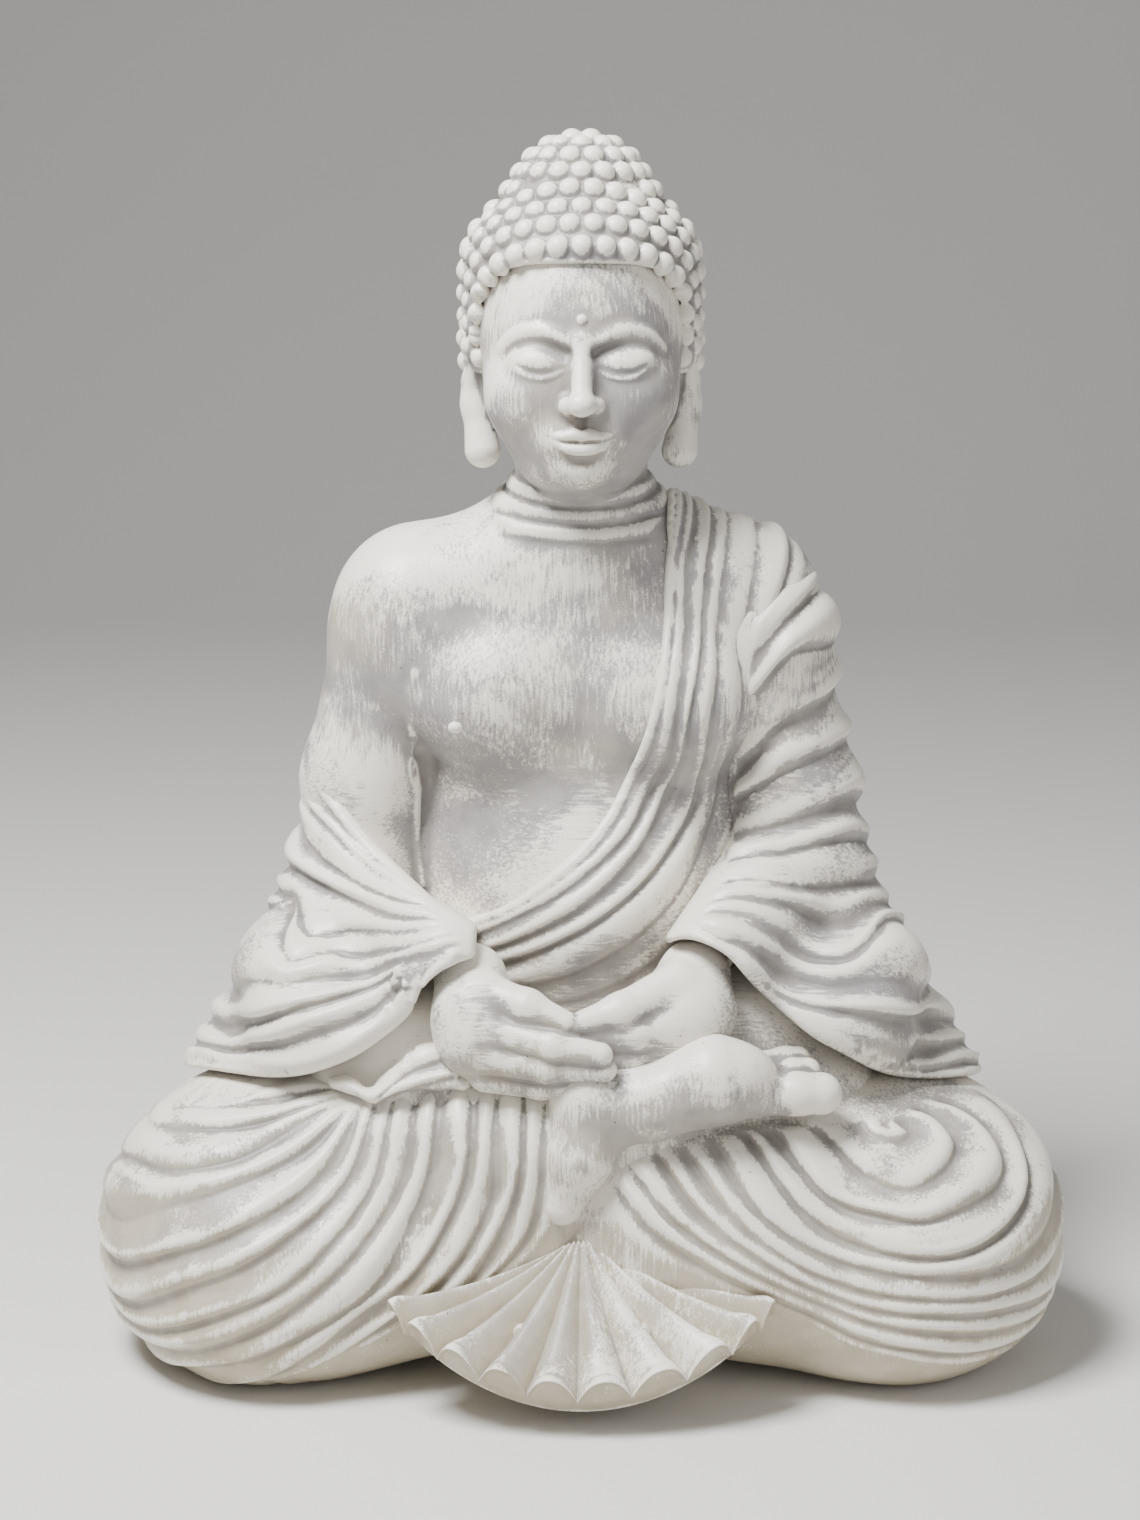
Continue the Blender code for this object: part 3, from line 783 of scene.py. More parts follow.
def tuck_form(p):
    """A tuck of the robe beside the hand, lying on the lap."""
    lap = lap_form(p)
    flap = common(0.007, lap - 0.006, TUCK.distance(p))
    ear = common(0.006, lap - 0.0045, EAR_OF_TUCK.distance(p))
    return melt(0.005, flap, ear)


# ---------------------------------------------------------------- head

FACE_TOP = 0.4838
CHIN = 0.39
THIRD = (FACE_TOP - CHIN) / 3
BROW = FACE_TOP - THIRD
NOSE = BROW - THIRD
EYE_LINE = BROW - 0.32 * THIRD
MOUTH = NOSE - 0.36 * THIRD
EYE_X = 0.0172

SKULL = [
    ball((0.0, 0.004, 0.452), (0.045, 0.0485, 0.058)),
    ball((0.0, -0.006, 0.421), (0.035, 0.04, 0.032)),
    ball((0.0, -0.016, 0.397), (0.023, 0.024, 0.012)),
]
CHEEK = ball((0.0215, -0.025, 0.427), (0.017, 0.017, 0.016))
LIPS_SWELL = ball((0.0, -0.04, MOUTH), (0.017, 0.0115, 0.0105))
CHIN_BALL = ball((0.0, -0.04, 0.3985), (0.011, 0.0092, 0.0085))
NECK_OUTER = [limb((0.0, 0.018, 0.352), (0.0, 0.01, 0.425), 0.03, 0.029)]
NECK_Y = 0.013
NECK_ROLLS = 3
LOWEST_ROLL = 0.368
ROLL_HIGH = 0.0074
ROLL_DEEP = 0.003


def face_base(p):
    q = mirrored(p)
    d = melt(0.016, grow(p, SKULL, 0.016), distance(q, CHEEK))
    d = melt(0.01, d, distance(p, LIPS_SWELL))
    return melt(0.008, d, distance(p, CHIN_BALL))


def on(field, x, z, out=0.0):
    """A point of the front of a field, moved out of it by a distance."""
    p = np.array([[x, -0.08, z]], F)
    for _ in range(40):
        p[0, 1] += float(np.clip(field(p)[0] * 0.8, -0.004, 0.004))
    return (x, float(p[0, 1]) - out, z)


def along_face(field, start, points, radii, out=0.0):
    """A smooth strand on the face, through points in millimetres (across, up) from a start."""
    run = curve([on(field, start[0] + x, start[1] + z, out) for x, z in metres(points)],
                4 * len(points) - 3)
    thick = np.interp(np.linspace(0, len(radii) - 1, len(run)), range(len(radii)), radii) / 1000
    return chain(run.tolist(), thick.tolist())


NOSE_SHAPES = [
    limb((0.0, -0.0425, BROW - 0.001), (0.0, -0.0545, NOSE + 0.006), 0.004, 0.0046),
    ball((0.0, -0.056, NOSE + 0.0045), (0.0054, 0.0054, 0.0044)),
]
NOSTRIL_WING = ball((0.0058, -0.049, NOSE + 0.0038), (0.0037, 0.0056, 0.0036))
NOSTRIL = ball((0.0032, -0.053, NOSE + 0.0002), (0.0015, 0.0026, 0.0012))
BROW_ARC = along_face(face_base, (0, BROW), [(5, -3.5), (11, 1.2), (19, 3.2), (27.5, 0.8), (34.5, -5)],
                      (2, 2.4, 2.4, 2.2, 1), -0.0012)
SOCKET = ball(on(face_base, EYE_X, EYE_LINE + 0.0046, 0.003), (0.0125, 0.0045, 0.0036))
EYEBALL = ball(on(face_base, EYE_X, EYE_LINE - 0.0004, -0.0074), (0.0132, 0.0094, 0.008))


def face_with_eyes(p):
    q = mirrored(p)
    d = melt(0.0035, face_base(p), grow(q, BROW_ARC, 0.002))
    d = melt(0.0055, d, grow(p, NOSE_SHAPES, 0.004))
    d = melt(0.004, d, distance(q, NOSTRIL_WING))
    d = carve(0.0045, d, distance(q, SOCKET))
    return melt(0.0036, d, distance(q, EYEBALL))


LID_LINE = along_face(face_with_eyes, (EYE_X, EYE_LINE),
                      [(-10, -1.4), (-5, -3.2), (0, -3.8), (5.5, -3), (10.8, -0.6)],
                      (0.4, 0.7, 0.8, 0.7, 0.4), 0.0002)
LOWER_LID = along_face(face_with_eyes, (EYE_X, EYE_LINE),
                       [(-9, -3.4), (-4.8, -5.6), (0, -6.4), (5.2, -5.6), (9.6, -3)],
                       (0.5, 0.8, 0.9, 0.8, 0.5), -0.0004)
UPPER_LIP = along_face(face_base, (0, MOUTH), [(13.6, 1.6), (8, 2), (3, 3.2), (0, 2.4)],
                       (0.6, 1.6, 2.1, 2), -0.0003)
LOWER_LIP = along_face(face_base, (0, MOUTH), [(10.5, -0.8), (5.4, -2.6), (0, -3.1)],
                       (0.8, 2, 2.4), -0.0004)
PHILTRUM = along_face(face_base, (0, MOUTH), [(0, (NOSE - MOUTH) * 1000 - 1), (0, 5)],
                      (1.2, 1.5), 0.0006)
LIP_HOLLOW = ball(on(face_base, 0.0, MOUTH - 0.008, 0.0022), (0.0085, 0.0034, 0.0026))


def face_with_lips(p):
    q = mirrored(p)
    d = carve(0.0022, face_with_eyes(p), grow(p, PHILTRUM, 0.001))
    d = carve(0.0045, d, distance(p, LIP_HOLLOW))
    d = melt(0.0012, d, grow(q, UPPER_LIP, 0.001))
    return melt(0.0012, d, grow(q, LOWER_LIP, 0.001))


MOUTH_LINE = along_face(face_with_lips, (0, MOUTH), [(14.6, 2), (8.5, 0.4), (3.5, 0.1), (0, -0.4)],
                        (0.4, 0.6, 0.7, 0.7), 0.0002)
URNA = ball(on(face_base, 0.0, BROW + 0.008, -0.0002), (0.0023, 0.0018, 0.0023))
EAR = [
    ball((0.0475, 0.017, 0.44), (0.0042, 0.012, 0.018), (0, -4, 0)),
    limb((0.047, 0.014, 0.438), (0.0462, 0.012, 0.42), 0.0048, 0.0056),
    limb((0.0462, 0.012, 0.42), (0.0435, 0.008, 0.4008), 0.0056, 0.008),
]
EAR_RIM = chain([(0.049, 0.0065, 0.442), (0.0505, 0.0085, 0.452), (0.0515, 0.016, 0.4575),
                 (0.0515, 0.024, 0.453), (0.0505, 0.0275, 0.443), (0.049, 0.0245, 0.431),
                 (0.0475, 0.019, 0.422)], (0.0016, 0.0022, 0.0024, 0.0024, 0.0023, 0.0022, 0.0018))
EAR_HOLLOW = ball((0.053, 0.0155, 0.4415), (0.0045, 0.0062, 0.0092))


def head_form(p):
    q = mirrored(p)
    d = carve(0.001, face_with_lips(p), grow(q, LID_LINE, 0.0005), grow(q, MOUTH_LINE, 0.0005))
    d = melt(0.001, d, grow(q, LOWER_LID, 0.001))
    d = carve(0.0012, d, distance(q, NOSTRIL))
    d = melt(0.0007, d, distance(p, URNA))
    d = melt(0.005, d, grow(p, NECK_OUTER, 0.012))
    ear = melt(0.002, grow(q, EAR, 0.006), grow(q, EAR_RIM, 0.001))
    ear = carve(0.0025, ear, distance(q, EAR_HOLLOW))
    return melt(0.003, d, ear)


def neck_rings(p, _):
    """Rolls round the neck, lower in front than behind."""
    level = p[:, 2] - 0.17 * (p[:, 1] - NECK_Y)
    turns = (level - LOWEST_ROLL) / ROLL_HIGH
    roll = np.sqrt(np.clip(1 - 0.96 * (2 * np.mod(turns, 1.0) - 1) ** 2, 0, 1))
    around = np.hypot(p[:, 0], p[:, 1] - NECK_Y)
    mask = smoothstep(-0.05, 0.05, turns) * smoothstep(NECK_ROLLS + 0.05, NECK_ROLLS - 0.05, turns)
    return (ROLL_DEEP * (roll - 0.3) * mask * smoothstep(0.0405, 0.036, around)).astype(F)


HAIR = [ball((0.0, 0.016, 0.484), (0.0495, 0.055, 0.033)),
        ball((0.0, 0.018, 0.458), (0.051, 0.0565, 0.046)),
        ball((0.0, 0.04, 0.43), (0.04, 0.033, 0.033)),
        limb((-0.0395, 0.012, 0.442), (0.0395, 0.012, 0.442), 0.0085, 0.0085)]
USHNISHA = ball((0.0, 0.019, 0.503), (0.0325, 0.0345, 0.0335))
OPENING_X = 0.0448
OPENING_Z = 0.44
OPENING_HIGH = FACE_TOP - OPENING_Z
HEAD_MIDDLE = (0.0, 0.018, 0.452)
CROWN_MIDDLE = (0.0, 0.019, 0.501)
CROWN_REACH = 0.034      # from the crown's middle to its curls
CURL_GAP = 0.01
ROW_GAP = 0.0088
ROWS_BELOW = 4            # rows of curls between the hairline and the crown's rings
ROWS = 14
CURL_RADIUS = 0.005
CURL_HEIGHT = 0.0038


def hair_plain(p):
    return melt(0.01, grow(p, HAIR, 0.014), distance(p, USHNISHA))


def hair_form(p):
    """The hair cap, open round the face and ending above the ears and nape."""
    x, y, z = p[:, 0], p[:, 1], p[:, 2]
    size = ((np.abs(x) / OPENING_X) ** 4 + (np.abs(z - OPENING_Z) / OPENING_HIGH) ** 4) ** 0.25
    outside = (np.where(z > OPENING_Z, size, np.abs(x) / OPENING_X) - 1) * OPENING_X
    keep_out = melt(0.003, -outside, -0.002 - y)
    return common(0.002, common(0.0022, hair_plain(p), keep_out), hair_end(y) - z)


def hair_end(y):
    """The height where the hair ends, above the ears and sloping down to the nape."""
    return 0.4346 - 0.45 * np.maximum(0, y - 0.012)


def hair_point(centre, x, y, z):
    """Where a ray from a point inside the head leaves the hair."""
    centre = np.array(centre, F)
    direction = np.array((x, y, z), F) / math.hypot(x, y, z)
    far = 0.12
    for _ in range(30):
        far -= float(hair_plain((centre + direction * far)[None])[0]) * 0.8
    return centre + direction * far


def cap_row(k):
    """Row k of curls, at an even distance round the hairline of the face."""
    away = 0.0062 + k * ROW_GAP
    wide, high, middle = 0.055 + away, 0.0462 + away, -0.018
    power = 3.2 - 0.12 * k
    row = []
    for a in np.radians(np.linspace(-118, 118, 160)):
        reach = (abs(math.sin(a) / wide) ** power + abs(math.cos(a) / high) ** power) ** (-1 / power)
        x, y = reach * math.sin(a), middle + reach * math.cos(a)
        angle = math.hypot(x, y) / 0.056
        turn = math.atan2(x, y)
        if angle < math.pi * 0.98:
            row.append(hair_point(HEAD_MIDDLE, math.sin(angle) * math.sin(turn), -math.cos(angle),
                                  math.sin(angle) * math.cos(turn)))
    return np.array(row, F)


def crown_rings():
    """Rings of places round the ushnisha, from its foot up."""
    polar = math.radians(84)
    while polar > 0.05:
        yield np.array([hair_point(CROWN_MIDDLE, math.sin(polar) * math.sin(a),
                                   -math.sin(polar) * math.cos(a), math.cos(polar))
                        for a in np.linspace(0, 2 * math.pi, 90)], F)
        polar -= ROW_GAP / CROWN_REACH


def curl_centres():
    """Staggered rows of curls along the hairline, rings round the ushnisha and a filled back."""
    placed = []

    def add(point, room):
        if all(np.linalg.norm(point - q) > room for q in placed):
            placed.append(point)

    def add_on_cap(point, room):
        if point[2] > hair_end(point[1]) + 0.0045:
            add(point, room)

    def run_row(k, room):
        row = cap_row(k)
        length = lengths(row)[-1]
        count = int(length / 2 / CURL_GAP) + 1
        for j in sorted(range(-count, count + 1), key=abs):
            at = length / 2 + (j + 0.5 * (k % 2)) * CURL_GAP
            if 0 <= at <= length:
                add_on_cap(stations(row, at), room)

    for k in range(ROWS_BELOW):
        run_row(k, 0.0088)
    for k, ring in enumerate(crown_rings()):
        length = lengths(ring)[-1]
        count = max(1, round(length / CURL_GAP))
        for j in range(count):
            add(stations(ring, (j + 0.5 * (k % 2)) / count * length), 0.008)
    add(hair_point(HEAD_MIDDLE, 0, 0.002, 1), 0.006)
    for k in range(ROWS_BELOW, ROWS):
        run_row(k, 0.0086)
    for rise in np.radians(np.arange(-28, 50, 4.5)):
        for turn in np.radians(np.arange(0, 95, 2.5)):
            for side in (1, -1):
                add_on_cap(hair_point(HEAD_MIDDLE, side * math.cos(rise) * math.sin(turn),
                                      math.cos(rise) * math.cos(turn), math.sin(rise)), 0.0084)
    return placed


def curls():
    """Heights of round curls, each on its own place."""
    centres = curl_centres()
    print(len(centres), "curls")
    tree = tree_of(centres)

    def height(p, _):
        near = np.array([tree.find(q)[2] for q in p], F)
        return (CURL_HEIGHT * np.clip(1 - (near / CURL_RADIUS) ** 2, 0, 1) ** 0.62).astype(F)
    return height


# ---------------------------------------------------------------- fan-shaped apron

FAN_ROOT = (0.0, -0.098, 0.0714)
FAN_HALF_ROOT = 0.011
FAN_SWEEP = math.radians(82)
FAN_HALF_WIDE = 0.0812
FAN_THICK = 0.0155
FAN_RIBS = 10
RIB_HIGH = 0.0092


def fan_surface(turn, across):
    """Points of the fan: across goes down the top, over the lip and under to the back."""
    angle = FAN_SWEEP * turn
    ribs = FAN_RIBS * (turn + 1) / 2 + 0.1 * np.sin(5.0 * turn + 1.0)
    u = np.mod(ribs, 1.0)
    arch = 1 - np.abs(2 * u - 1) ** 2.2
    wave = np.sin(math.pi * u)
    rim = np.stack([FAN_HALF_WIDE * np.sin(angle), FAN_ROOT[1] - 0.012 - 0.031 * np.cos(angle),
                    0.0495 - 0.0275 * np.cos(angle) ** 2], -1)
    away = np.stack([np.sin(angle), -np.cos(angle) - 0.25, 0 * angle], -1)
    root = np.stack([FAN_HALF_ROOT * turn, FAN_ROOT[1] + 0 * turn, FAN_ROOT[2] - 0.005 * turn ** 2], -1)
    out = np.clip(across, 0, 1)
    down = np.clip(across - 1, 0, 1)
    back = np.clip(across - 2, 0, 1)
    sag = -0.003 * np.sin(math.pi * out)
    height = (0.0014 + RIB_HIGH * out ** 1.1) * (arch - 0.5)
    p = root + (rim - root) * out[..., None]
    p[..., 2] += sag + height + 0.0016 * smoothstep(0.86, 1.0, out)
    lip = 0.002 * np.sin(math.pi * np.clip(down / 0.16, 0, 1))
    bulge = (0.0036 * wave - 0.001) * np.sin(math.pi * np.clip(down, 0, 1) ** 0.7)
    tucked = 0.003 * smoothstep(0.1, 0.5, down) + 0.005 * smoothstep(0.4, 1.0, down)
    p = p + away * (lip + bulge - tucked)[..., None]
    p[..., 2] -= FAN_THICK * down + height * smoothstep(0.0, 0.9, down)
    inner = np.stack([0.3 * rim[..., 0], 0 * angle - 0.07, 0 * angle + 0.012], -1)
    p = p + (inner - p) * smoothstep(0, 1, back)[..., None]
    p[..., 2] = np.maximum(p[..., 2], 0.0006)
    return p


def build_fan():
    turns = 440 >> DETAIL
    runs = ((0, 0.86, 36 >> DETAIL), (0.86, 1.0, 10), (1.0, 1.3, 12), (1.3, 2.0, 20 >> DETAIL))
    across = np.concatenate([np.linspace(*run, endpoint=False) for run in runs]
                            + [np.linspace(2.0, 3.0, 8)])
    turn, way = np.meshgrid(np.linspace(-1, 1, turns + 1), across, indexing="ij")
    p = fan_surface(turn, way).reshape(-1, 3)
    n = len(across)
    i, j = np.meshgrid(np.arange(turns), np.arange(n - 1), indexing="ij")
    a = (i * n + j).ravel()
    faces = np.stack([a, a + 1, a + n + 1, a + n], -1)
    obj = new_mesh("fan_apron", p, faces)
    bm = bmesh.new()
    bm.from_mesh(obj.data)
    ends = [e for e in bm.edges if e.is_boundary]
    bmesh.ops.holes_fill(bm, edges=ends, sides=0)
    bmesh.ops.triangulate(bm, faces=[f for f in bm.faces if len(f.verts) > 4])
    bmesh.ops.recalc_face_normals(bm, faces=bm.faces)
    bm.to_mesh(obj.data)
    bm.free()
    finish(obj, "apron_casting")


# ---------------------------------------------------------------- stone

class Nodes:
    """Short calls for building a material's nodes."""

    def __init__(self, name):
        self.mat = bpy.data.materials.new(name)
        self.mat.use_nodes = True
        self.tree = self.mat.node_tree
        self.shader = self.tree.nodes["Principled BSDF"]
        self.place = self.tree.nodes.new("ShaderNodeTexCoord").outputs["Object"]

    def link(self, value, socket):
        if isinstance(value, bpy.types.NodeSocket):
            self.tree.links.new(value, socket)
        else:
            socket.default_value = (*value, 1) if socket.type == "RGBA" else value

    def node(self, kind, output, inputs, **settings):
        """Adds a node, links or sets its inputs and gives back one of its outputs."""
        node = self.tree.nodes.new("ShaderNode" + kind)
        for key, value in settings.items():
            setattr(node, key, value)
        for key, value in inputs.items():
            self.link(value, node.inputs[key])
        return node.outputs[output]

    def math(self, operation, a, b):
        return self.node("Math", 0, {0: a, 1: b}, operation=operation)

    def plus(self, total, term, weight):
        return self.math("ADD", total, self.math("MULTIPLY", term, weight))

    def centred(self, value):
        return self.math("SUBTRACT", value, 0.5)

    def ramp(self, value, low, high, to_low=0.0, to_high=1.0):
        inputs = {"Value": value, "From Min": low, "From Max": high,
                  "To Min": to_low, "To Max": to_high}
        return self.node("MapRange", "Result", inputs, interpolation_type="SMOOTHSTEP")

    def mix(self, factor, a, b):
        return self.node("Mix", "Result", {"Factor": factor, "A": a, "B": b}, data_type="RGBA")

    def stretched(self, scale, turn=(0, 0, 0)):
        return self.node("Mapping", "Vector", {"Vector": self.place, "Scale": scale,
                                               "Rotation": [math.radians(a) for a in turn]})

    def noise(self, scale, detail=3.0, rough=0.55, warp=0.0, vector=None):
        return self.node("TexNoise", "Fac", {"Vector": vector or self.place, "Scale": scale,
                                             "Detail": detail, "Roughness": rough, "Distortion": warp})

    def cells(self, scale):
        return self.node("TexVoronoi", "Distance", {"Vector": self.place, "Scale": scale})

    def bump(self, height, distance, strength=1.0, **under):
        return self.node("Bump", "Normal", {"Distance": distance, "Strength": strength,
                                            "Height": height, **under})


PIT = (0.1, 0.09, 0.085)
GREY = (0.262, 0.25, 0.252)
# Darker grey for painted shade in the creases.
CREASE_SHADE = (0.17, 0.154, 0.142)
WHITE = (0.8, 0.762, 0.68)
# Cream of the stone's own random patches, also used for a painted reflection of the floor's light low
# down and on surfaces facing down.
CREAM_TONE_AND_FLOOR_REFLECTION = (0.45, 0.392, 0.284)


def build_stone():
    """Grey cast stone with a whitewash put on with a dry brush over its high places, warmer near the
    ground. Painted light is mixed in: the whitewash spreads further on surfaces facing up, partly as a
    painted highlight of light from above; the cream near the ground and on surfaces facing down is a
    painted floor reflection, besides the stone's own random cream patches; the creases get painted
    shade.
    """
    n = Nodes("washed_cast_stone")
    crest = n.node("Attribute", "Fac", {}, attribute_name="crest")
    height = n.node("SeparateXYZ", "Z", {0: n.place})
    # The normal's upward part: it drives a painted highlight from above and painted shade on surfaces
    # facing down.
    up = n.node("SeparateXYZ", "Z", {0: n.node("NewGeometry", "Normal", {})})
    patch = n.noise(17.0, 3.0, 0.6, 0.6)
    high = n.plus(height, n.centred(patch), 0.1)

    # Brush strokes run down the chest and the legs, and across the belly and the forearms.
    upright = n.noise(1.0, 4.0, 0.65, 0.3, n.stretched((760, 760, 55), (6, 0, 20)))
    level = n.noise(1.0, 4.0, 0.65, 0.3, n.stretched((55, 760, 760), (0, 9, 0)))
    which = n.math("MAXIMUM", n.ramp(high, 0.262, 0.272), n.ramp(high, 0.15, 0.14))
    streak = n.plus(n.math("MULTIPLY", upright, which), level, n.math("SUBTRACT", 1.0, which))
    wash_and_top_light = n.plus(patch, n.centred(streak), 0.6)
    wash_and_top_light = n.plus(wash_and_top_light, crest, 0.3)
    # More whitewash on surfaces facing up: partly the brush catching top sides, partly a painted
    # highlight of the light from above.
    wash_and_top_light = n.plus(wash_and_top_light, up, 0.17)
    # Less whitewash near the ground, where the painted floor reflection in cream shows.
    wash_and_top_light = n.math("SUBTRACT", wash_and_top_light, n.ramp(high, 0.16, 0.03, 0.0, 0.1))
    wash_and_top_light = n.plus(wash_and_top_light, n.centred(n.noise(1300.0, 2.0, 0.7)), 0.3)
    whitewash_and_top_light = n.ramp(wash_and_top_light, 0.47, 0.66)

    # Cream near the ground and on surfaces facing down is a painted reflection of the floor's light and
    # painted shade; the noise adds the stone's own random cream patches.
    cream_and_reflection_mask = n.ramp(high, 0.17, 0.03)
    cream_and_reflection_mask = n.math("MAXIMUM", cream_and_reflection_mask, n.ramp(n.noise(13.0, 3.0, 0.6), 0.5, 0.72, 0.0, 0.65))
    cream_and_reflection_mask = n.math("MULTIPLY", cream_and_reflection_mask, n.ramp(up, 0.75, 0.2, 0.35, 1.0))
    base = n.mix(cream_and_reflection_mask, GREY, CREAM_TONE_AND_FLOOR_REFLECTION)
    # Painted shade: the creases, where the crest value is low, are mixed towards a darker grey.
    crease_shade_mask = n.ramp(crest, -0.08, -0.7)
    base = n.mix(n.math("MULTIPLY", crease_shade_mask, 0.6), base, CREASE_SHADE)
    cloud = n.ramp(n.noise(60.0, 4.0, 0.6), 0.35, 0.65, 0.0, 0.16)
    base = n.mix(cloud, base, WHITE)
    pits = n.ramp(n.cells(230.0), 0.1, 0.04)
    pits = n.math("MULTIPLY", pits, n.ramp(n.noise(40.0, 2.0), 0.58, 0.66))
    colour = n.mix(whitewash_and_top_light, base, WHITE)
    colour = n.mix(n.math("MULTIPLY", pits, 0.8), colour, PIT)
    n.link(colour, n.shader.inputs["Base Color"])
    n.link(n.ramp(whitewash_and_top_light, 0.0, 1.0, 0.42, 0.33), n.shader.inputs["Roughness"])
    grain = n.noise(900.0, 3.0, 0.6)
    normal = n.bump(grain, 0.0002, 0.5)
    normal = n.bump(streak, 0.0004, 0.5, Normal=normal)
    normal = n.bump(pits, -0.0006, Normal=normal)
    n.link(normal, n.shader.inputs["Normal"])
    return n.mat


STONE = build_stone()


def build_fitting(name, dark, light, roughness, metallic=0.0, scale=90.0, depth=0.0002):
    """A hidden fitting's material: cloudy colour, uneven gloss and a slight grain."""
    n = Nodes(name)
    cloud = n.noise(1.0, 4.0, 0.6, 0.3, n.stretched((scale,) * 3))
    grain = n.noise(scale * 9, 3.0, 0.6)
    n.link(n.mix(n.ramp(cloud, 0.35, 0.65), dark, light), n.shader.inputs["Base Color"])
    n.link(n.ramp(grain, 0.3, 0.7, roughness - 0.08, roughness + 0.08), n.shader.inputs["Roughness"])
    n.shader.inputs["Metallic"].default_value = metallic
    n.link(n.bump(grain, depth, 0.6), n.shader.inputs["Normal"])
    return n.mat


FITTINGS = {
    "base_plate": build_fitting("grey_base_board", (0.25, 0.25, 0.24), (0.34, 0.34, 0.33), 0.7,
                                depth=0.0004),
    "filler_plug": build_fitting("black_rubber", (0.025, 0.025, 0.025), (0.045, 0.045, 0.045), 0.6),
    "base_screw": build_fitting("zinc_steel", (0.56, 0.57, 0.58), (0.68, 0.69, 0.7), 0.34, 1.0, 400.0),
    "dowel": build_fitting("glass_fibre_rod", (0.66, 0.63, 0.5), (0.8, 0.77, 0.66), 0.5, 0.0, 300.0),
}


def dress_fittings():
    """Gives the CAD parts that no piece replaces their materials."""
    for obj in bpy.data.objects:
        for word, mat in FITTINGS.items():
            if obj.type == "MESH" and word in obj.name and "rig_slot" not in obj:
                for place in obj.material_slots:
                    place.material = mat


# ---------------------------------------------------------------- pieces

def build_legs():
    for name, form, lines, low, high, seed in (
            ("robe_right_leg", right_leg_form, RIGHT_KNEE_LINES, -0.24, 0.045, 1.0),
            ("robe_left_leg", left_leg_form, LEFT_KNEE_LINES, -0.06, 0.24, 2.0)):
        folds = pleats(Sheet(lines, form), 2.0, 0.0044, seed=seed, fine=0.0004, ends=(0.04, 0.1))
        sculpt(name, "lap_casting", form, (low, -0.15, -0.01), (high, 0.14, 0.16), 0.0044, 2, [folds])
    sculpt("seat", "lap_casting", seat_form, (-0.2, -0.11, -0.01), (0.2, 0.14, 0.18), 0.004, 1)
    folds = pleats(Sheet(TUCK_LINES, tuck_form), 1.0, 0.0034, sharp=1.6, seed=6.0,
                   ends=(0.1, 0.05), uneven=0.2)
    sculpt("robe_tuck", "lap_casting", tuck_form,
           (-0.14, -0.12, 0.08), (-0.03, -0.02, 0.17), 0.0026, 2, [folds])


def build_trunk():
    sculpt("bare_body", "torso_casting", body_form,
           (-0.14, -0.07, 0.1), (0.14, 0.12, 0.44), 0.004, 2, [neck_rings])
    sheet = Sheet(CHEST_LINES, lambda p: trunk_form(p) - CLOTH)
    sculpt("robe_over_shoulder", "torso_casting", robe_form,
           (-0.12, -0.07, 0.1), (0.12, 0.13, 0.4), 0.004, 2,
           [pleats(sheet, 2.0, 0.004, seed=3.0, fine=0.0004)])


def build_sleeves():
    for side, form, lines, area, opening, low, high, depth, seed in (
            ("right", right_sleeve_form, RIGHT_SLEEVE_LINES, RIGHT_SLEEVE_AREA, RIGHT_OPENING,
             (-0.24, -0.12, 0.05), (-0.02, 0.1, 0.31), 0.005, 4.0),
            ("left", left_sleeve_form, LEFT_SLEEVE_LINES, LEFT_SLEEVE_AREA, LEFT_OPENING,
             (0.02, -0.12, 0.05), (0.24, 0.1, 0.39), 0.0056, 5.0)):
        folds = pleats(Sheet(lines, form), 2.0, depth, sharp=2.2, seed=seed, fine=0.0003)
        sculpt(side + "_sleeve", side + "_arm_casting", form, low, high, 0.004, 2, [folds],
               near_edge(area, opening))


def build_limbs():
    sculpt("hands", "hands_casting", hands_form,
           (-0.08, -0.14, 0.11), (0.08, -0.03, 0.21), 0.0028, 2)
    sculpt("foot", "foot_casting", foot_form, (-0.04, -0.14, 0.06), (0.14, -0.05, 0.18), 0.003, 2)
    build_fan()


def build_head():
    sculpt("head_and_neck", "head_casting", head_form,
           (-0.06, -0.075, 0.345), (0.06, 0.065, 0.52), 0.0026, 2, [neck_rings])
    sculpt("hair", "head_casting", hair_form,
           (-0.07, -0.055, 0.395), (0.07, 0.09, 0.55), 0.0028, 2, [curls()])


# ---------------------------------------------------------------- floor, lights and camera

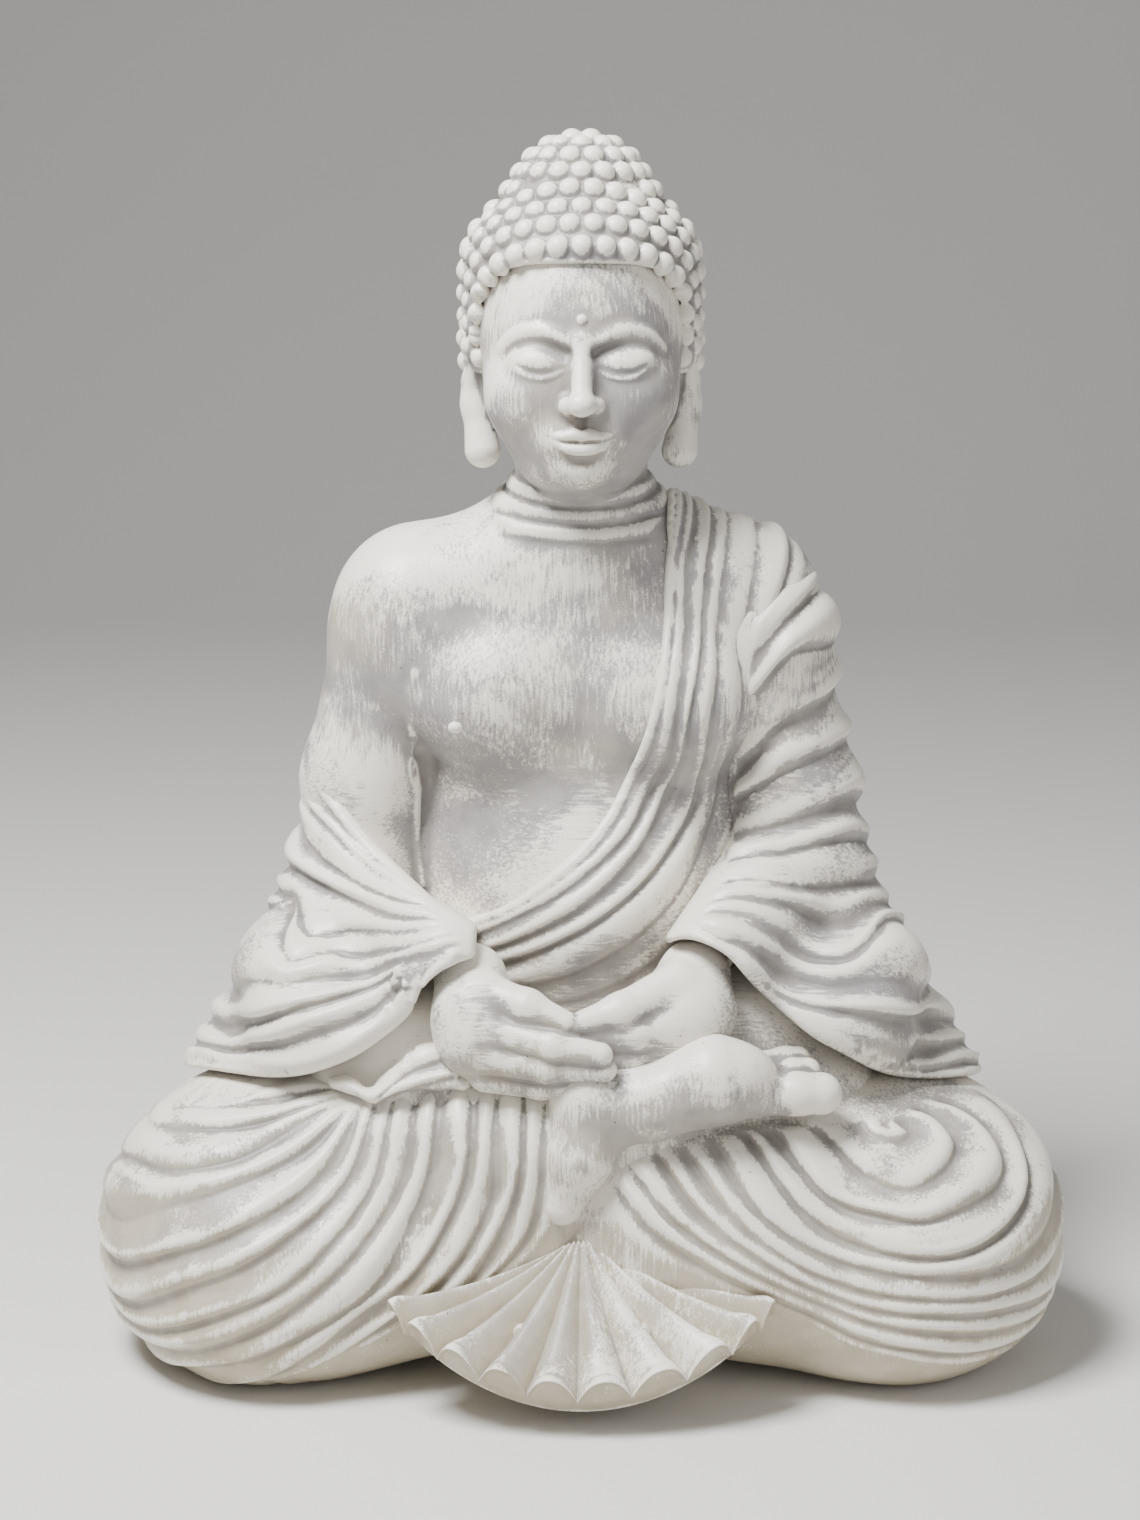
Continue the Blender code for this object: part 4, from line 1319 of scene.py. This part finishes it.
def build_floor():
    """A pale floor that curves up into a wall far behind."""
    run = [(-4.0, 0.0), (2.0, 0.0)]
    run += [(2.0 + math.sin(a) * 1.5, 1.5 - math.cos(a) * 1.5)
            for a in np.linspace(0.1, math.pi / 2, 12)]
    run += [(3.5, 6.0)]
    points = np.array([(x, y, z) for y, z in run for x in (-6.0, 6.0)])
    faces = np.array([(2 * i, 2 * i + 1, 2 * i + 3, 2 * i + 2) for i in range(len(run) - 1)])
    floor = new_mesh("floor", points, faces)
    floor.data.shade_smooth()
    paint = Nodes("pale_floor")
    paint.link((0.66, 0.65, 0.63), paint.shader.inputs["Base Color"])
    paint.link(0.8, paint.shader.inputs["Roughness"])
    floor.data.materials.append(paint.mat)


def aimed(name, data, place, way):
    """Puts a light or a camera in the scene, pointing along a vector."""
    obj = bpy.data.objects.new(name, data)
    bpy.context.scene.collection.objects.link(obj)
    obj.location = place
    obj.rotation_euler = way.to_track_quat("-Z", "Y").to_euler()
    return obj


def area_light(name, place, size, power):
    data = bpy.data.lights.new(name, "AREA")
    data.size = size
    data.energy = power
    aimed(name, data, place, Vector((0, 0, 0.25)) - Vector(place))


def build_lights():
    area_light("key", (-0.55, -0.45, 1.5), size=0.55, power=62)
    area_light("fill", (1.2, -1.2, 0.8), size=1.2, power=8)
    world = bpy.data.worlds.new("soft_room")
    bpy.context.scene.world = world
    world.use_nodes = True
    sky = world.node_tree.nodes["Background"]
    sky.inputs["Color"].default_value = (0.86, 0.85, 0.83, 1)
    sky.inputs["Strength"].default_value = 0.38


def build_camera():
    """The eye of the sketch plane, moved a little to frame the figure."""
    data = bpy.data.cameras.new("camera")
    data.lens = 69.65
    data.sensor_width = 36
    aim = Vector(EYE_TARGET) + Vector((-0.0049, FORWARD, 0.0066))
    ahead = Vector(AHEAD.tolist())
    bpy.context.scene.camera = aimed("camera", data, aim - ahead * EYE_DISTANCE, ahead)


build_floor()
build_lights()
build_camera()
build_legs()
build_trunk()
build_sleeves()
build_limbs()
build_head()
dress_fittings()
